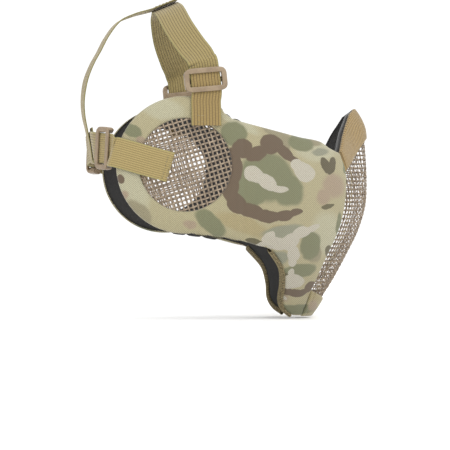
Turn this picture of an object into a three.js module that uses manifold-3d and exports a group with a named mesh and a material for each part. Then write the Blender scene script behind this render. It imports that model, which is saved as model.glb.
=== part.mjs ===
// Half face mask of padded camouflage fabric with a woven wire muzzle, round ear covers with
// domed wire discs, and an elastic harness held by four three-bar sliders.
//
// Millimetres, +Z up. The origin is the seat of the head, midway between the two ear discs.
// The wearer looks along -Y and the wearer's right is -X. Soft layers are plain closed solids.

import * as THREE from 'three';
import { mergeVertices } from 'three/addons/utils/BufferGeometryUtils.js';
import Module from 'manifold-3d';

const wasm = await Module();
wasm.setup();

// ---------------------------------------------------------------- driving dimensions

// The outer face of the mask, level by level: height, half-width beside the ears,
// how far the front ridge stands before the origin, and how high the nose ridge rises.
const FACE_LEVELS = [
  { z: 60, half: 72, ridge: 134, nose: 15 },
  { z: 48, half: 74.5, ridge: 144, nose: 15 },
  { z: 35, half: 76.5, ridge: 151.3, nose: 16 },
  { z: 24, half: 78.2, ridge: 153.6, nose: 15 },
  { z: 0, half: 80, ridge: 155.3, nose: 7 },
  { z: -17, half: 79.2, ridge: 155.3, nose: 2 },
  { z: -31, half: 77.6, ridge: 153.8, nose: 0 },
  { z: -50, half: 74, ridge: 147.8, nose: 0 },
  { z: -66, half: 67.5, ridge: 139.8, nose: 0 },
  { z: -87, half: 54.5, ridge: 128.6, nose: 0 },
  { z: -102, half: 43.5, ridge: 119, nose: 0 },
  { z: -120, half: 32, ridge: 106.5, nose: 0 },
];
const WIDEST_Y = -10;        // the face is widest here, just before the ear discs
const SIDE_POWER = 1.8;      // roundness of the cheek sections, across
const DEPTH_POWER = 1.7;     // and along
const REAR_REACH = 166;      // radius that closes the sections behind the ears
const NOSE_SPREAD = 13;      // half-width of the nose ridge

const GAP = 0.3;             // clearance between touching layers
const COVER = 1.2;           // camouflage outer fabric with its backing
const PAD = 4;               // foam with its black lining
const WIRE_LAYER = 0.9;      // woven wire sheet
const TUCK = 5;              // how far a wire sheet runs under the fabric
const NOSE_PAD = 1.7;
const CHIN_PAD = 3.2;

const CREASE_Y = -44;        // fold line between an ear cover and the cheek
const CREASE_PLAY = 0.25;    // half the clearance along the fold

const EAR_OUTER = 51.8;      // ear cover, radius
const EAR_CENTRE_Z = 0.3;
const EAR_OPENING = 35;      // the wire disc shows inside this radius
const EAR_DOME = 7.5;        // how far the wire disc bulges
const DOME_EDGE = 30;        // the bulge starts inside this radius

const EDGE_BINDING = 2.4;    // width of the stitched binding on the jaw edge
const EDGE_PROUD = 0.5;

const WEB_WIDTH = 22.5;      // elastic webbing
const WEB = 1.2;
const SEWN = GAP + WEB / 2;  // middle of a webbing ply that is sewn onto a face

const SLIDER_LENGTH = 18;
const SLIDER_THICK = 6.2;
const SLIDER_BAR = 4;
const SLOT_SIDE = 1;         // play beside the webbing in the slot
const SLIDER_RAIL = 3.75;
const SLIDER_WIDTH = WEB_WIDTH + 2 * (SLOT_SIDE + SLIDER_RAIL); // three-bar slider
const SLIDER_SLOT = 2 * WEB + 3 * GAP;
const PLY = (WEB + GAP) / 2; // each of the two plies lies this far off the slider's middle
const SLIDER_TRAVEL = 3;     // along the straight stretch of webbing, away from the ear
const SLIDER_ABOVE_EAR = 2.5; // from the ear cover's rim to the top slider

// ---------------------------------------------------------------- small helpers

const vec = (x, y, z) => new THREE.Vector3(x, y, z);
const DEG = Math.PI / 180;

// A smooth curve through stations, flat-ended cubics between neighbours.
function through(stations) {
  const sorted = [...stations].sort((a, b) => a[0] - b[0]);
  const slope = sorted.map((station, i) => {
    const before = sorted[Math.max(i - 1, 0)];
    const after = sorted[Math.min(i + 1, sorted.length - 1)];
    return (after[1] - before[1]) / (after[0] - before[0]);
  });
  return (value) => {
    let i = sorted.findIndex((station) => station[0] > value) - 1;
    if (i === -2) i = sorted.length - 2;
    i = Math.min(Math.max(i, 0), sorted.length - 2);
    const [x0, y0] = sorted[i];
    const [x1, y1] = sorted[i + 1];
    const h = x1 - x0;
    const t = (Math.min(Math.max(value, x0), x1) - x0) / h;
    const s = 1 - t;
    return y0 * (1 + 2 * t) * s * s + slope[i] * h * t * s * s
      + y1 * t * t * (3 - 2 * t) - slope[i + 1] * h * t * t * s;
  };
}

const halfWidthAt = through(FACE_LEVELS.map((level) => [level.z, level.half]));
const ridgeAt = through(FACE_LEVELS.map((level) => [level.z, level.ridge]));
const noseAt = through(FACE_LEVELS.map((level) => [level.z, level.nose]));

// A point of the outer face. The angle is 0 on the front ridge, 90 degrees where the face is
// widest and more behind that; negative angles are the wearer's right.
function facePoint(angle, z) {
  const turn = Math.abs(angle);
  const half = halfWidthAt(z);
  if (turn > 90 * DEG) {
    const rear = turn - 90 * DEG;
    return vec(Math.sign(angle) * half * Math.cos(rear), WIDEST_Y + REAR_REACH * Math.sin(rear), z);
  }
  const x = half * Math.sin(turn) ** (2 / SIDE_POWER);
  const depth = ridgeAt(z) - noseAt(z) + WIDEST_Y;
  const nose = noseAt(z) * Math.exp(-((x / NOSE_SPREAD) ** 2));
  const y = WIDEST_Y - depth * Math.cos(turn) ** (2 / DEPTH_POWER) - nose;
  return vec(Math.sign(angle) * x, y, z);
}

function faceNormal(angle, z) {
  const step = 1.2 * DEG;
  const rise = 0.6;
  const across = facePoint(angle + step, z).sub(facePoint(angle - step, z));
  const up = facePoint(angle, z + rise).sub(facePoint(angle, z - rise));
  return across.cross(up).normalize();
}

// The half-width of the outer face at a place of the side view, from the ears backwards
// and over the cheeks, where the nose ridge has faded out.
function faceHalfWidth(y, z) {
  if (y > WIDEST_Y) return halfWidthAt(z) * Math.sqrt(1 - ((y - WIDEST_Y) / REAR_REACH) ** 2);
  const share = (WIDEST_Y - y) / (ridgeAt(z) - noseAt(z) + WIDEST_Y);
  return halfWidthAt(z) * Math.max(1 - share ** DEPTH_POWER, 0) ** (1 / SIDE_POWER);
}

function toSolid(geometry) {
  const bare = geometry.clone();
  bare.deleteAttribute('normal');
  bare.deleteAttribute('uv');
  const merged = mergeVertices(bare, 1e-4);
  return new wasm.Manifold(new wasm.Mesh({
    numProp: 3,
    vertProperties: new Float32Array(merged.attributes.position.array),
    triVerts: new Uint32Array(merged.index.array),
  }));
}

function toGeometry(solid) {
  const mesh = solid.getMesh();
  const geometry = new THREE.BufferGeometry();
  geometry.setAttribute('position', new THREE.BufferAttribute(new Float32Array(mesh.vertProperties), 3));
  geometry.setIndex(new THREE.BufferAttribute(new Uint32Array(mesh.triVerts), 1));
  return geometry;
}

// The same piece for the wearer's left: mirrored across X, its faces turned to point out again.
function mirrored(geometry) {
  const copy = geometry.clone();
  const position = copy.attributes.position;
  for (let i = 0; i < position.count; i += 1) position.setX(i, -position.getX(i));
  const index = copy.index.array;
  for (let i = 0; i < index.length; i += 3) [index[i], index[i + 1]] = [index[i + 1], index[i]];
  return copy;
}

// ---------------------------------------------------------------- layers of the mask

// A layer of the face between two offsets from the outer face, as one closed solid.
// An offset is a number or a function of the place (y, z).
function layer({ angles, heights, columns, rows, outer, inner }) {
  const offsetAt = (offset, point) => (typeof offset === 'function' ? offset(point.y, point.z) : offset);
  const positions = [];
  for (const offset of [outer, inner]) {
    for (let row = 0; row <= rows; row += 1) {
      for (let column = 0; column <= columns; column += 1) {
        const angle = (angles[0] + (angles[1] - angles[0]) * (column / columns)) * DEG;
        const z = heights[0] + (heights[1] - heights[0]) * (row / rows);
        const point = facePoint(angle, z);
        point.addScaledVector(faceNormal(angle, z), offsetAt(offset, point));
        positions.push(point.x, point.y, point.z);
      }
    }
  }
  const sheet = (rows + 1) * (columns + 1);
  const at = (side, row, column) => side * sheet + row * (columns + 1) + column;
  const index = [];
  const quad = (a, b, c, d) => index.push(a, b, c, a, c, d);
  for (let row = 0; row < rows; row += 1) {
    for (let column = 0; column < columns; column += 1) {
      quad(at(0, row, column), at(0, row, column + 1), at(0, row + 1, column + 1), at(0, row + 1, column));
      quad(at(1, row, column), at(1, row + 1, column), at(1, row + 1, column + 1), at(1, row, column + 1));
    }
  }
  for (let column = 0; column < columns; column += 1) {
    quad(at(1, 0, column), at(1, 0, column + 1), at(0, 0, column + 1), at(0, 0, column));
    quad(at(0, rows, column), at(0, rows, column + 1), at(1, rows, column + 1), at(1, rows, column));
  }
  for (let row = 0; row < rows; row += 1) {
    quad(at(1, row + 1, 0), at(1, row, 0), at(0, row, 0), at(0, row + 1, 0));
    quad(at(1, row, columns), at(1, row + 1, columns), at(0, row + 1, columns), at(0, row, columns));
  }
  const geometry = new THREE.BufferGeometry();
  geometry.setAttribute('position', new THREE.Float32BufferAttribute(positions, 3));
  geometry.setIndex(index);
  return toSolid(geometry);
}

// A straight cutter through the mask along X, with its outline given in the side view (y, z).
function cutter(outline, xFrom, xTo) {
  const shape = new THREE.Shape(outline.map(([y, z]) => new THREE.Vector2(y, z)));
  const geometry = new THREE.ExtrudeGeometry(shape, { depth: xTo - xFrom, bevelEnabled: false, steps: 1 });
  geometry.applyMatrix4(new THREE.Matrix4().makeBasis(vec(0, 1, 0), vec(0, 0, 1), vec(1, 0, 0)));
  geometry.translate(xFrom, 0, 0);
  return toSolid(geometry);
}

const RIGHT_SIDE = [-110, -2];
const BOTH_SIDES = [-110, 110];

const arc = (centreZ, radius, from, to, steps) => Array.from({ length: steps + 1 }, (_, i) => {
  const angle = (from + (to - from) * (i / steps)) * DEG;
  return [radius * Math.cos(angle), centreZ + radius * Math.sin(angle)];
});

function smooth(points, steps) {
  const curve = new THREE.SplineCurve(points.map(([y, z]) => new THREE.Vector2(y, z)));
  return curve.getSpacedPoints(steps).map((point) => [point.x, point.y]);
}

const shifted = (points, dy, dz = 0) => points.map(([y, z]) => [y + dy, z + dz]);

// Lines of the side view, each from top to bottom or from front to back.
const SEAM = smooth([[-126, 12.1], [-130.6, -2.4], [-130.1, -21], [-126, -45], [-115.5, -70.7],
  [-105.6, -96]], 14);
const CHIN_SEAM = [[-105.6, -96], [-102.5, -106], [-99.5, -116.5]];
const CHEEK_TOP = smooth([[CREASE_Y, 33.2], [-60.5, 29.4], [-90.3, 23], [-108.4, 20.3], [-117, 15.5],
  [-126, 12.1]], 11);
const JAW_EDGE = smooth([[-67.8, -64.1], [-78.7, -78.8], [-81.2, -92], [-81, -104], [-84, -110.5],
  [-90, -115.2]], 9);
const CHEEK_BOTTOM = [[-67.8, -64.1], [-56, -60.5], [CREASE_Y, -57]];
const NOSE_ARCH = smooth([[-151, 52.5], [-143.7, 48], [-138.8, 43.5], [-134.5, 34], [-130.5, 24],
  [-126, 12.1]], 9);
const NOSE_LOWER = smooth([[-160, 24.2], [-153, 23.5], [-145, 14], [-138, 5.5], [-130.6, -2.4]], 6);
const MUZZLE_BOTTOM = [[-132, -103.5], [-119, -102], [-105.6, -96]];
const CHIN_BOTTOM = [[-99.5, -116.5], [-112, -116.8], [-132, -117]];

const cheekFrom = (frontShift) => [
  ...shifted(CHEEK_TOP, 0),
  ...shifted(SEAM.slice(1), frontShift),
  ...shifted(CHIN_SEAM.slice(1), frontShift),
  ...shifted([...JAW_EDGE].reverse(), -GAP),
  ...CHEEK_BOTTOM.slice(1),
].filter(([y]) => y <= CREASE_Y - CREASE_PLAY || y === CREASE_Y)
  .map(([y, z]) => [Math.min(y, CREASE_Y - CREASE_PLAY), z]);

const EAR_OUTLINE = [
  [CREASE_Y + CREASE_PLAY, 33.2],
  [-36, 35.6],
  [-29.5, 40],
  ...arc(EAR_CENTRE_Z, EAR_OUTER, 121, -96, 36),
  [-18, -52.8],
  [-31, -54.4],
  [CREASE_Y + CREASE_PLAY, -57],
];

const FACE_GRID = { angles: [-84, 84], heights: [-121, 59], columns: 30, rows: 22 };
const EAR_GRID = { angles: [-118, -70], heights: [-60, 56], columns: 12, rows: 14 };

function piece(grid, outer, inner, outline, sides) {
  return layer({ ...grid, outer, inner }).intersect(cutter(outline, ...sides));
}

const padOuter = -(COVER + GAP);
const wireOuter = -(COVER + GAP);
const wireInner = wireOuter - WIRE_LAYER;

function cheekCover() {
  return toGeometry(piece(FACE_GRID, 0, -COVER, cheekFrom(GAP + 0.1), RIGHT_SIDE));
}

function cheekPad() {
  return toGeometry(piece(FACE_GRID, padOuter, padOuter - PAD, cheekFrom(TUCK + 2 * GAP), RIGHT_SIDE));
}

// The binding wraps the jaw edge, so it is as deep as cover and pad together.
function jawBinding() {
  const outline = [...shifted(JAW_EDGE, EDGE_BINDING), ...[...JAW_EDGE].reverse()];
  return toGeometry(piece(FACE_GRID, EDGE_PROUD, padOuter - PAD - EDGE_PROUD, outline, RIGHT_SIDE));
}

function frontMesh() {
  const inset = 1;
  const outline = [
    ...shifted(NOSE_ARCH.slice(1), -inset, -inset),
    ...shifted(SEAM.slice(1), TUCK),
    ...shifted([...MUZZLE_BOTTOM].reverse().slice(0, -1), TUCK / 2, -TUCK),
    [-132, -103.5 - TUCK],
    [-164, -103.5 - TUCK],
    [-164, 52.5],
    [-151, 51.5],
  ];
  return toGeometry(piece(FACE_GRID, wireOuter, wireInner, outline, BOTH_SIDES));
}

const noseOutline = [
  ...NOSE_ARCH,
  ...SEAM.slice(1, 3).filter(([, z]) => z > -2.4),
  ...[...NOSE_LOWER].reverse(),
  [-160, 52.5],
];

function noseBinding() {
  return toGeometry(piece(FACE_GRID, 0, -COVER, noseOutline, BOTH_SIDES));
}

function nosePad() {
  const outer = wireInner - GAP;
  return toGeometry(piece(FACE_GRID, outer, outer - NOSE_PAD, noseOutline, BOTH_SIDES));
}

const chinOutline = [...MUZZLE_BOTTOM, ...CHIN_SEAM.slice(1), ...CHIN_BOTTOM.slice(1)];

function chinCover() {
  return toGeometry(piece(FACE_GRID, 0, -COVER, chinOutline, BOTH_SIDES));
}

function chinPad() {
  const outer = wireInner - GAP;
  return toGeometry(piece(FACE_GRID, outer, outer - CHIN_PAD, chinOutline, BOTH_SIDES));
}

// ---------------------------------------------------------------- ear covers

const earOpening = (radius) => cutter(arc(0, radius, 0, 350, 35), ...RIGHT_SIDE);

function earCover() {
  return toGeometry(piece(EAR_GRID, 0, -COVER, EAR_OUTLINE, RIGHT_SIDE).subtract(earOpening(EAR_OPENING)));
}

function earPad() {
  const ring = piece(EAR_GRID, padOuter, padOuter - PAD, EAR_OUTLINE, RIGHT_SIDE);
  return toGeometry(ring.subtract(earOpening(EAR_OPENING + TUCK + GAP)));
}

const domeRise = (y, z) => EAR_DOME * Math.max(1 - (y * y + z * z) / DOME_EDGE ** 2, 0) ** 1.5;

function earMesh() {
  const disc = layer({
    ...EAR_GRID,
    outer: (y, z) => wireOuter + domeRise(y, z),
    inner: (y, z) => wireInner + domeRise(y, z),
  });
  return toGeometry(disc.intersect(cutter(arc(0, EAR_OPENING + TUCK, 0, 350, 35), ...RIGHT_SIDE))
    .intersect(cutter(EAR_OUTLINE, ...RIGHT_SIDE)));
}

// ---------------------------------------------------------------- webbing

// A flat band along a smooth path. Each station has the middle of the band and the direction
// of its width; the band keeps its width and thickness all along.
function webbing(stations, steps) {
  const path = new THREE.CatmullRomCurve3(stations.map((station) => station.at), false, 'centripetal');
  const positions = [];
  const lengths = path.getLengths(200);
  for (let i = 0; i <= steps; i += 1) {
    const t = path.getUtoTmapping(i / steps, lengths[200] * (i / steps));
    const centre = path.getPoint(t);
    const along = path.getTangent(t);
    const stationShare = t * (stations.length - 1);
    const low = Math.min(Math.floor(stationShare), stations.length - 2);
    const across = stations[low].width.clone().lerp(stations[low + 1].width, stationShare - low);
    across.addScaledVector(along, -across.dot(along)).normalize();
    const normal = along.clone().cross(across).normalize();
    for (const [w, n] of [[-1, -1], [1, -1], [1, 1], [-1, 1]]) {
      const corner = centre.clone().addScaledVector(across, w * WEB_WIDTH / 2)
        .addScaledVector(normal, n * WEB / 2);
      positions.push(corner.x, corner.y, corner.z);
    }
  }
  const index = [];
  const quad = (a, b, c, d) => index.push(a, b, c, a, c, d);
  for (let i = 0; i < steps; i += 1) {
    for (let side = 0; side < 4; side += 1) {
      const next = (side + 1) % 4;
      quad(4 * i + side, 4 * i + next, 4 * (i + 1) + next, 4 * (i + 1) + side);
    }
  }
  quad(3, 2, 1, 0);
  quad(4 * steps, 4 * steps + 1, 4 * steps + 2, 4 * steps + 3);
  const geometry = new THREE.BufferGeometry();
  geometry.setAttribute('position', new THREE.Float32BufferAttribute(positions, 3));
  geometry.setIndex(index);
  return geometry;
}

// A slider and the straight run of webbing through it: the middle, the run, the width of the
// webbing and the way out from the head.
function sliderSeat(middle, run, width) {
  const along = run.clone().normalize();
  const across = width.clone().addScaledVector(along, -width.dot(along)).normalize();
  const outward = across.clone().cross(along).normalize();
  if (outward.dot(vec(middle.x, middle.y, 0)) < 0) outward.negate();
  const at = (alongBy, outBy) => middle.clone().addScaledVector(along, alongBy).addScaledVector(outward, outBy);
  return { middle, along, across, outward, at };
}

const EAR_TOP = EAR_CENTRE_Z + EAR_OUTER;
const TOP_SEAT_Z = EAR_TOP + SLIDER_ABOVE_EAR + SLIDER_LENGTH / 2;
const TOP_SEAT = sliderSeat(vec(-74.7, -15.2, TOP_SEAT_Z), vec(0.045, 0.06, 1), vec(0, 1, 0));
const REAR_RUN = vec(0.885, 0.46, 0.09).normalize();
const REAR_SEAT = sliderSeat(vec(-65.554, EAR_OUTER + 2.766, 12.191).addScaledVector(REAR_RUN, SLIDER_LENGTH / 2),
  REAR_RUN, vec(0, 0, 1));

function slider(seat) {
  const box = (width, length, thick, along, out) => {
    const bar = new THREE.BoxGeometry(width, length, thick);
    bar.translate(0, along, out);
    return toSolid(bar);
  };
  const slotWidth = WEB_WIDTH + 2 * SLOT_SIDE;
  const rail = (SLIDER_WIDTH - slotWidth) / 2;
  const barThick = (SLIDER_THICK - SLIDER_SLOT) / 2;
  const barOut = (SLIDER_SLOT + barThick) / 2;
  const endBar = (SLIDER_LENGTH - SLIDER_BAR) / 2;
  let body = box(SLIDER_WIDTH, SLIDER_LENGTH, SLIDER_THICK, 0, 0)
    .subtract(box(slotWidth, SLIDER_LENGTH + 2, SLIDER_THICK + 2, 0, 0));
  for (const end of [-1, 1]) body = body.add(box(SLIDER_WIDTH - rail, SLIDER_BAR, barThick, end * endBar, barOut));
  body = body.add(box(SLIDER_WIDTH - rail, SLIDER_BAR, barThick, 0, -barOut));
  const geometry = toGeometry(body);
  const side = seat.across.clone();
  if (side.clone().cross(seat.along).dot(seat.outward) < 0) side.negate();
  geometry.applyMatrix4(new THREE.Matrix4().makeBasis(side, seat.along, seat.outward).setPosition(seat.middle));
  return geometry;
}

const UPRIGHT = vec(0, 1, 0);
const onFace = (y, z, out) => vec(-(faceHalfWidth(y, z) + out), y, z);

// The tab is the outer ply: sewn over the top of the disc, then up through the slider.
const TAB_FOOT_Z = 30;
const TAB_Y = -15.2;
const TAB_BELOW_RIM = 4.1;   // the tab leaves the ear cover this far under its rim

function topTab() {
  const rise = (EAR_TOP - TAB_BELOW_RIM - TAB_FOOT_Z) / 3;
  const stations = [0, 1, 2, 3].map((step) => ({
    at: onFace(TAB_Y, TAB_FOOT_Z + step * rise, SEWN), width: UPRIGHT,
  }));
  for (const along of [-SLIDER_LENGTH / 2, 0, SLIDER_LENGTH / 2 - SLIDER_BAR / 2]) {
    stations.push({ at: TOP_SEAT.at(along, PLY), width: TOP_SEAT.across });
  }
  return webbing(stations, 9);
}

const STRAP_END_BELOW = SLIDER_LENGTH / 2 + GAP;   // how far a strap end reaches past the slider's middle
const STRAP_END_ABOVE = SLIDER_LENGTH / 2 + SLIDER_TRAVEL + 2 * GAP;

function strapEnd(seat) {
  const stations = [-STRAP_END_BELOW, 0, STRAP_END_ABOVE]
    .map((along) => ({ at: seat.at(along, -PLY), width: seat.across }));
  return webbing(stations, 3);
}

// The rear tab starts on the dome, rises backwards and folds round the rim of the ear cover.
function rearTab() {
  const tilt = Math.tan(16 * DEG);
  const start = { y: 11.8, z: -2 };
  const width = vec(0, -Math.sin(16 * DEG), Math.cos(16 * DEG));
  const stations = [0, 8, 16, 24, 31, 36].map((back) => {
    const y = start.y + back;
    const z = start.z + back * tilt;
    return { at: onFace(y, z, Math.max(wireOuter + domeRise(y, z), 0) + SEWN + 0.15), width };
  });
  const rimX = -faceHalfWidth(EAR_OUTER, 10);
  const foldRadius = GAP + WEB;
  stations.push({ at: vec(rimX - foldRadius, EAR_OUTER - 1.2, 9.3), width });
  stations.push({ at: vec(rimX - foldRadius * 0.6, EAR_OUTER + foldRadius * 0.8, 9.7), width });
  stations.push({ at: vec(rimX + 1.6, EAR_OUTER + foldRadius, 10), width });
  for (const along of [-SLIDER_LENGTH / 2 - 2.5, -SLIDER_LENGTH / 4, SLIDER_LENGTH / 2 - SLIDER_BAR / 2]) {
    stations.push({ at: REAR_SEAT.at(along, PLY), width: REAR_SEAT.across });
  }
  return webbing(stations, 26);
}

// ---------------------------------------------------------------- harness

const CROWN = vec(0, 7.3, 126.3);
const CROWN_TILT = vec(0, 0.925, -0.38);
const STRAP_JOIN = GAP + 0.5;   // play left between a strap end and the strap it runs into

function bothWays(half) {
  const left = half.slice(0, -1).reverse().map((station) => ({
    at: vec(-station.at.x, station.at.y, station.at.z),
    width: vec(-station.width.x, station.width.y, station.width.z),
  }));
  return [...half, ...left];
}

function crownStrap() {
  const start = TOP_SEAT.at(STRAP_END_ABOVE + STRAP_JOIN, -PLY);
  const half = [
    { at: start, width: TOP_SEAT.across },
    { at: TOP_SEAT.at(STRAP_END_ABOVE + 2.5, -PLY), width: TOP_SEAT.across },
    { at: vec(-69, -10, 83.5), width: vec(0, 0.96, -0.26) },
    { at: vec(-61.5, -5.4, 90.5), width: vec(0.04, 0.93, -0.35) },
    { at: vec(-45, 1.3, 105.6), width: vec(0.05, 0.93, -0.36) },
    { at: vec(-23, 5.9, 120.6), width: vec(0.03, 0.925, -0.38) },
    { at: CROWN, width: CROWN_TILT },
  ];
  return webbing(bothWays(half), 36);
}

const NAPE_Y = 64.6;
const NAPE_Z = 17;
const NAPE_TILT = vec(0, 0.15, 0.99);

function rearStrap() {
  const start = REAR_SEAT.at(STRAP_END_ABOVE + STRAP_JOIN, -PLY);
  const half = [
    { at: start, width: REAR_SEAT.across },
    { at: REAR_SEAT.at(STRAP_END_ABOVE + 2, -PLY), width: REAR_SEAT.across },
    { at: vec(-38, 65.6, 15.2), width: vec(0, 0.08, 0.99) },
    { at: vec(-26, 65.6, 16), width: vec(0, 0.12, 0.99) },
    { at: vec(-12, 65, 16.8), width: NAPE_TILT },
    { at: vec(0, NAPE_Y, NAPE_Z), width: NAPE_TILT },
  ];
  return webbing(bothWays(half), 28);
}

// The spine strap is sewn over the crown strap, runs down the back of the head and loops
// under the rear strap, back up behind it.
function spineStrap() {
  const sideways = vec(1, 0, 0);
  const over = WEB + 1.5 * GAP;
  const crownUp = vec(0, 0.38, 0.925);
  const sewnEnd = [-10.4, 0, 10.4]
    .map((along) => CROWN.clone().addScaledVector(CROWN_TILT, along).addScaledVector(crownUp, over));
  const napeOut = vec(0, 0.99, -0.15);
  const nape = (rise, out) => vec(0, NAPE_Y, NAPE_Z).addScaledVector(NAPE_TILT, rise).addScaledVector(napeOut, out);
  const fold = WEB_WIDTH / 2 + GAP;
  const down = [
    vec(0, 32, 119.6), vec(0, 44, 113.8), vec(0, 53, 102.4), vec(0, 59.2, 90.6), vec(0, 64.6, 80.7),
    vec(0, 69.4, 68), vec(0, 71.6, 53), vec(0, 71, 41), nape(13, over + 0.5),
  ];
  const loop = [nape(0, over), nape(-fold, over), nape(-fold - 1.3, 0.9), nape(-fold - 1.3, -0.9),
    nape(-fold, -over), nape(0, -over), nape(14, -over)];
  return webbing([...sewnEnd, ...down, ...loop].map((at) => ({ at, width: sideways })), 64);
}

// ---------------------------------------------------------------- assembly

const finish = (colour, roughness, metalness = 0) => new THREE.MeshStandardMaterial({
  color: new THREE.Color(colour).convertSRGBToLinear(),
  roughness,
  metalness,
  side: THREE.FrontSide,
});

const CAMO = () => finish(0xb5ab87, 0.9);
const LINING = () => finish(0x1d1c1b, 0.95);
const WEBBING = () => finish(0xae9a5c, 0.8);
const BINDING = () => finish(0xb89b68, 0.85);
const WIRE = () => finish(0xa99a8a, 0.5, 0.3);
const PLASTIC = () => finish(0x93805f, 0.45);
const THREAD = () => finish(0x3a3830, 0.9);

const group = new THREE.Group();

function add(name, geometry, material) {
  const mesh = new THREE.Mesh(geometry, material);
  mesh.name = name;
  group.add(mesh);
}

function addPair(name, geometry, material) {
  add(`${name}_right`, geometry, material());
  add(`${name}_left`, mirrored(geometry), material());
}

add('front_mesh', frontMesh(), WIRE());
add('nose_binding', noseBinding(), BINDING());
add('nose_pad', nosePad(), LINING());
add('chin_cover', chinCover(), CAMO());
add('chin_pad', chinPad(), LINING());
addPair('cheek_cover', cheekCover(), CAMO);
addPair('cheek_pad', cheekPad(), LINING);
addPair('jaw_binding', jawBinding(), THREAD);
addPair('ear_cover', earCover(), CAMO);
addPair('ear_pad', earPad(), LINING);
addPair('ear_mesh', earMesh(), WIRE);
addPair('top_tab', topTab(), WEBBING);
addPair('rear_tab', rearTab(), WEBBING);
addPair('crown_strap_end', strapEnd(TOP_SEAT), WEBBING);
addPair('rear_strap_end', strapEnd(REAR_SEAT), WEBBING);
addPair('top_slider', slider(TOP_SEAT), PLASTIC);
addPair('rear_slider', slider(REAR_SEAT), PLASTIC);
add('crown_strap', crownStrap(), WEBBING());
add('rear_strap', rearStrap(), WEBBING());
add('spine_strap', spineStrap(), WEBBING());

export default group;
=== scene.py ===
# %% [markdown]
# # A camouflage face mask, piece by piece
# The mask is a padded fabric shell with woven wire over the mouth and the ears, held on the head by
# elastic webbing. Its solid model already holds every size, so the first step loads that model. Each
# piece below is then worked out as a surface and laid where the solid model has it.

import bpy
import numpy as np
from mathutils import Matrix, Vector


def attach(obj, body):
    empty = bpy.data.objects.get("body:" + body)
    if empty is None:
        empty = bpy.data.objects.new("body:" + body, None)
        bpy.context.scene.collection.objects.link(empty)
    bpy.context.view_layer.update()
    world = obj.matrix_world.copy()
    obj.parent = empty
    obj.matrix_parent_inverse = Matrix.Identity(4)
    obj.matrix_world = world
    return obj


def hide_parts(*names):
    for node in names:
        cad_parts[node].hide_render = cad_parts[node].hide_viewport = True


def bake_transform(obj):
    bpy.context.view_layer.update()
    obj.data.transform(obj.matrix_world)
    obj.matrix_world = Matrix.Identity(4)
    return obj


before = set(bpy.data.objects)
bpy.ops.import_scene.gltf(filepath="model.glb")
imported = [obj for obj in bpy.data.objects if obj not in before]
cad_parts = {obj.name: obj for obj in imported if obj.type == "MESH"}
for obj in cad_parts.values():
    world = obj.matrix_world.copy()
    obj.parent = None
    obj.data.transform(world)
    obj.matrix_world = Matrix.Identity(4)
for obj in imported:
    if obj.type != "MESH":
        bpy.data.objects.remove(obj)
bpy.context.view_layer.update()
MM = 0.001

# %% [markdown]
# ## The shape of the face
# Every layer of the mask follows one surface: the outside of a face. It could be sculpted, but then
# no two layers would lie parallel. Here it is a formula instead. At each height three curves give the
# half width, the depth of the ridge and the height of the nose, and a rounded section joins them.

# %% Curves through known heights
FACE = np.array([  # height, half width, ridge, nose
    (-120, 32, 106.5, 0), (-102, 43.5, 119, 0), (-87, 54.5, 128.6, 0), (-66, 67.5, 139.8, 0),
    (-50, 74, 147.8, 0), (-31, 77.6, 153.8, 0), (-17, 79.2, 155.3, 2), (0, 80, 155.3, 7),
    (24, 78.2, 153.6, 15), (35, 76.5, 151.3, 16), (48, 74.5, 144, 15), (60, 72, 134, 15)], float)
WIDEST_Y, REAR_REACH, NOSE_SPREAD = -10, 166, 13
SIDE_POWER, DEPTH_POWER = 1.8, 1.7
HALVINGS = 40  # how often a search halves its interval


def through(x, y, at):
    """A smooth curve through stations: cubic pieces whose slope at a station is that of the line
    between its two neighbours."""
    slope = np.empty(len(x))
    slope[1:-1] = (y[2:] - y[:-2]) / (x[2:] - x[:-2])
    slope[0], slope[-1] = (y[1] - y[0]) / (x[1] - x[0]), (y[-1] - y[-2]) / (x[-1] - x[-2])
    at = np.clip(at, x[0], x[-1])
    i = np.clip(np.searchsorted(x, at, side="right") - 1, 0, len(x) - 2)
    h = x[i + 1] - x[i]
    t = (at - x[i]) / h
    s = 1 - t
    return (y[i] * (1 + 2 * t) * s * s + slope[i] * h * t * s * s
            + y[i + 1] * t * t * (3 - 2 * t) - slope[i + 1] * h * t * t * s)


def level(z):
    """Half width, ridge and nose at a height, each a curve through its stations."""
    return [through(FACE[:, 0], FACE[:, k], z) for k in (1, 2, 3)]


print("half width, ridge and nose at the mouth:", [round(float(v), 1) for v in level(-20.0)], "mm")

# %% [markdown]
# With those three numbers a point is known from its angle round the head. A sculpted mesh would have
# only the points it was given; a formula gives as many as are asked for, all on one smooth surface,
# and a layer under it is the same point pushed in along the surface's normal.

# %% The face as a function of angle and height
def face(angle, z):
    """A point of the face from its angle round the head, in radians, and its height. In front of the
    widest point the section is half width times a power of the sine, by depth times a power of the
    cosine, with a bell-shaped nose on top. Behind it the section is an arc."""
    half, ridge, nose = level(z)
    a = np.abs(angle)
    front = np.minimum(a, np.pi / 2)
    x = half * np.sin(front) ** (2 / SIDE_POWER)
    depth = (ridge - nose + WIDEST_Y) * np.clip(np.cos(front), 0, 1) ** (2 / DEPTH_POWER)
    y = WIDEST_Y - depth - nose * np.exp(-(x / NOSE_SPREAD) ** 2)
    back = np.maximum(a - np.pi / 2, 0)
    x = np.where(a > np.pi / 2, half * np.cos(back), x)
    y = np.where(a > np.pi / 2, WIDEST_Y + REAR_REACH * np.sin(back), y)
    return np.stack([np.sign(angle) * x, y, z + 0 * x], -1)


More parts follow.
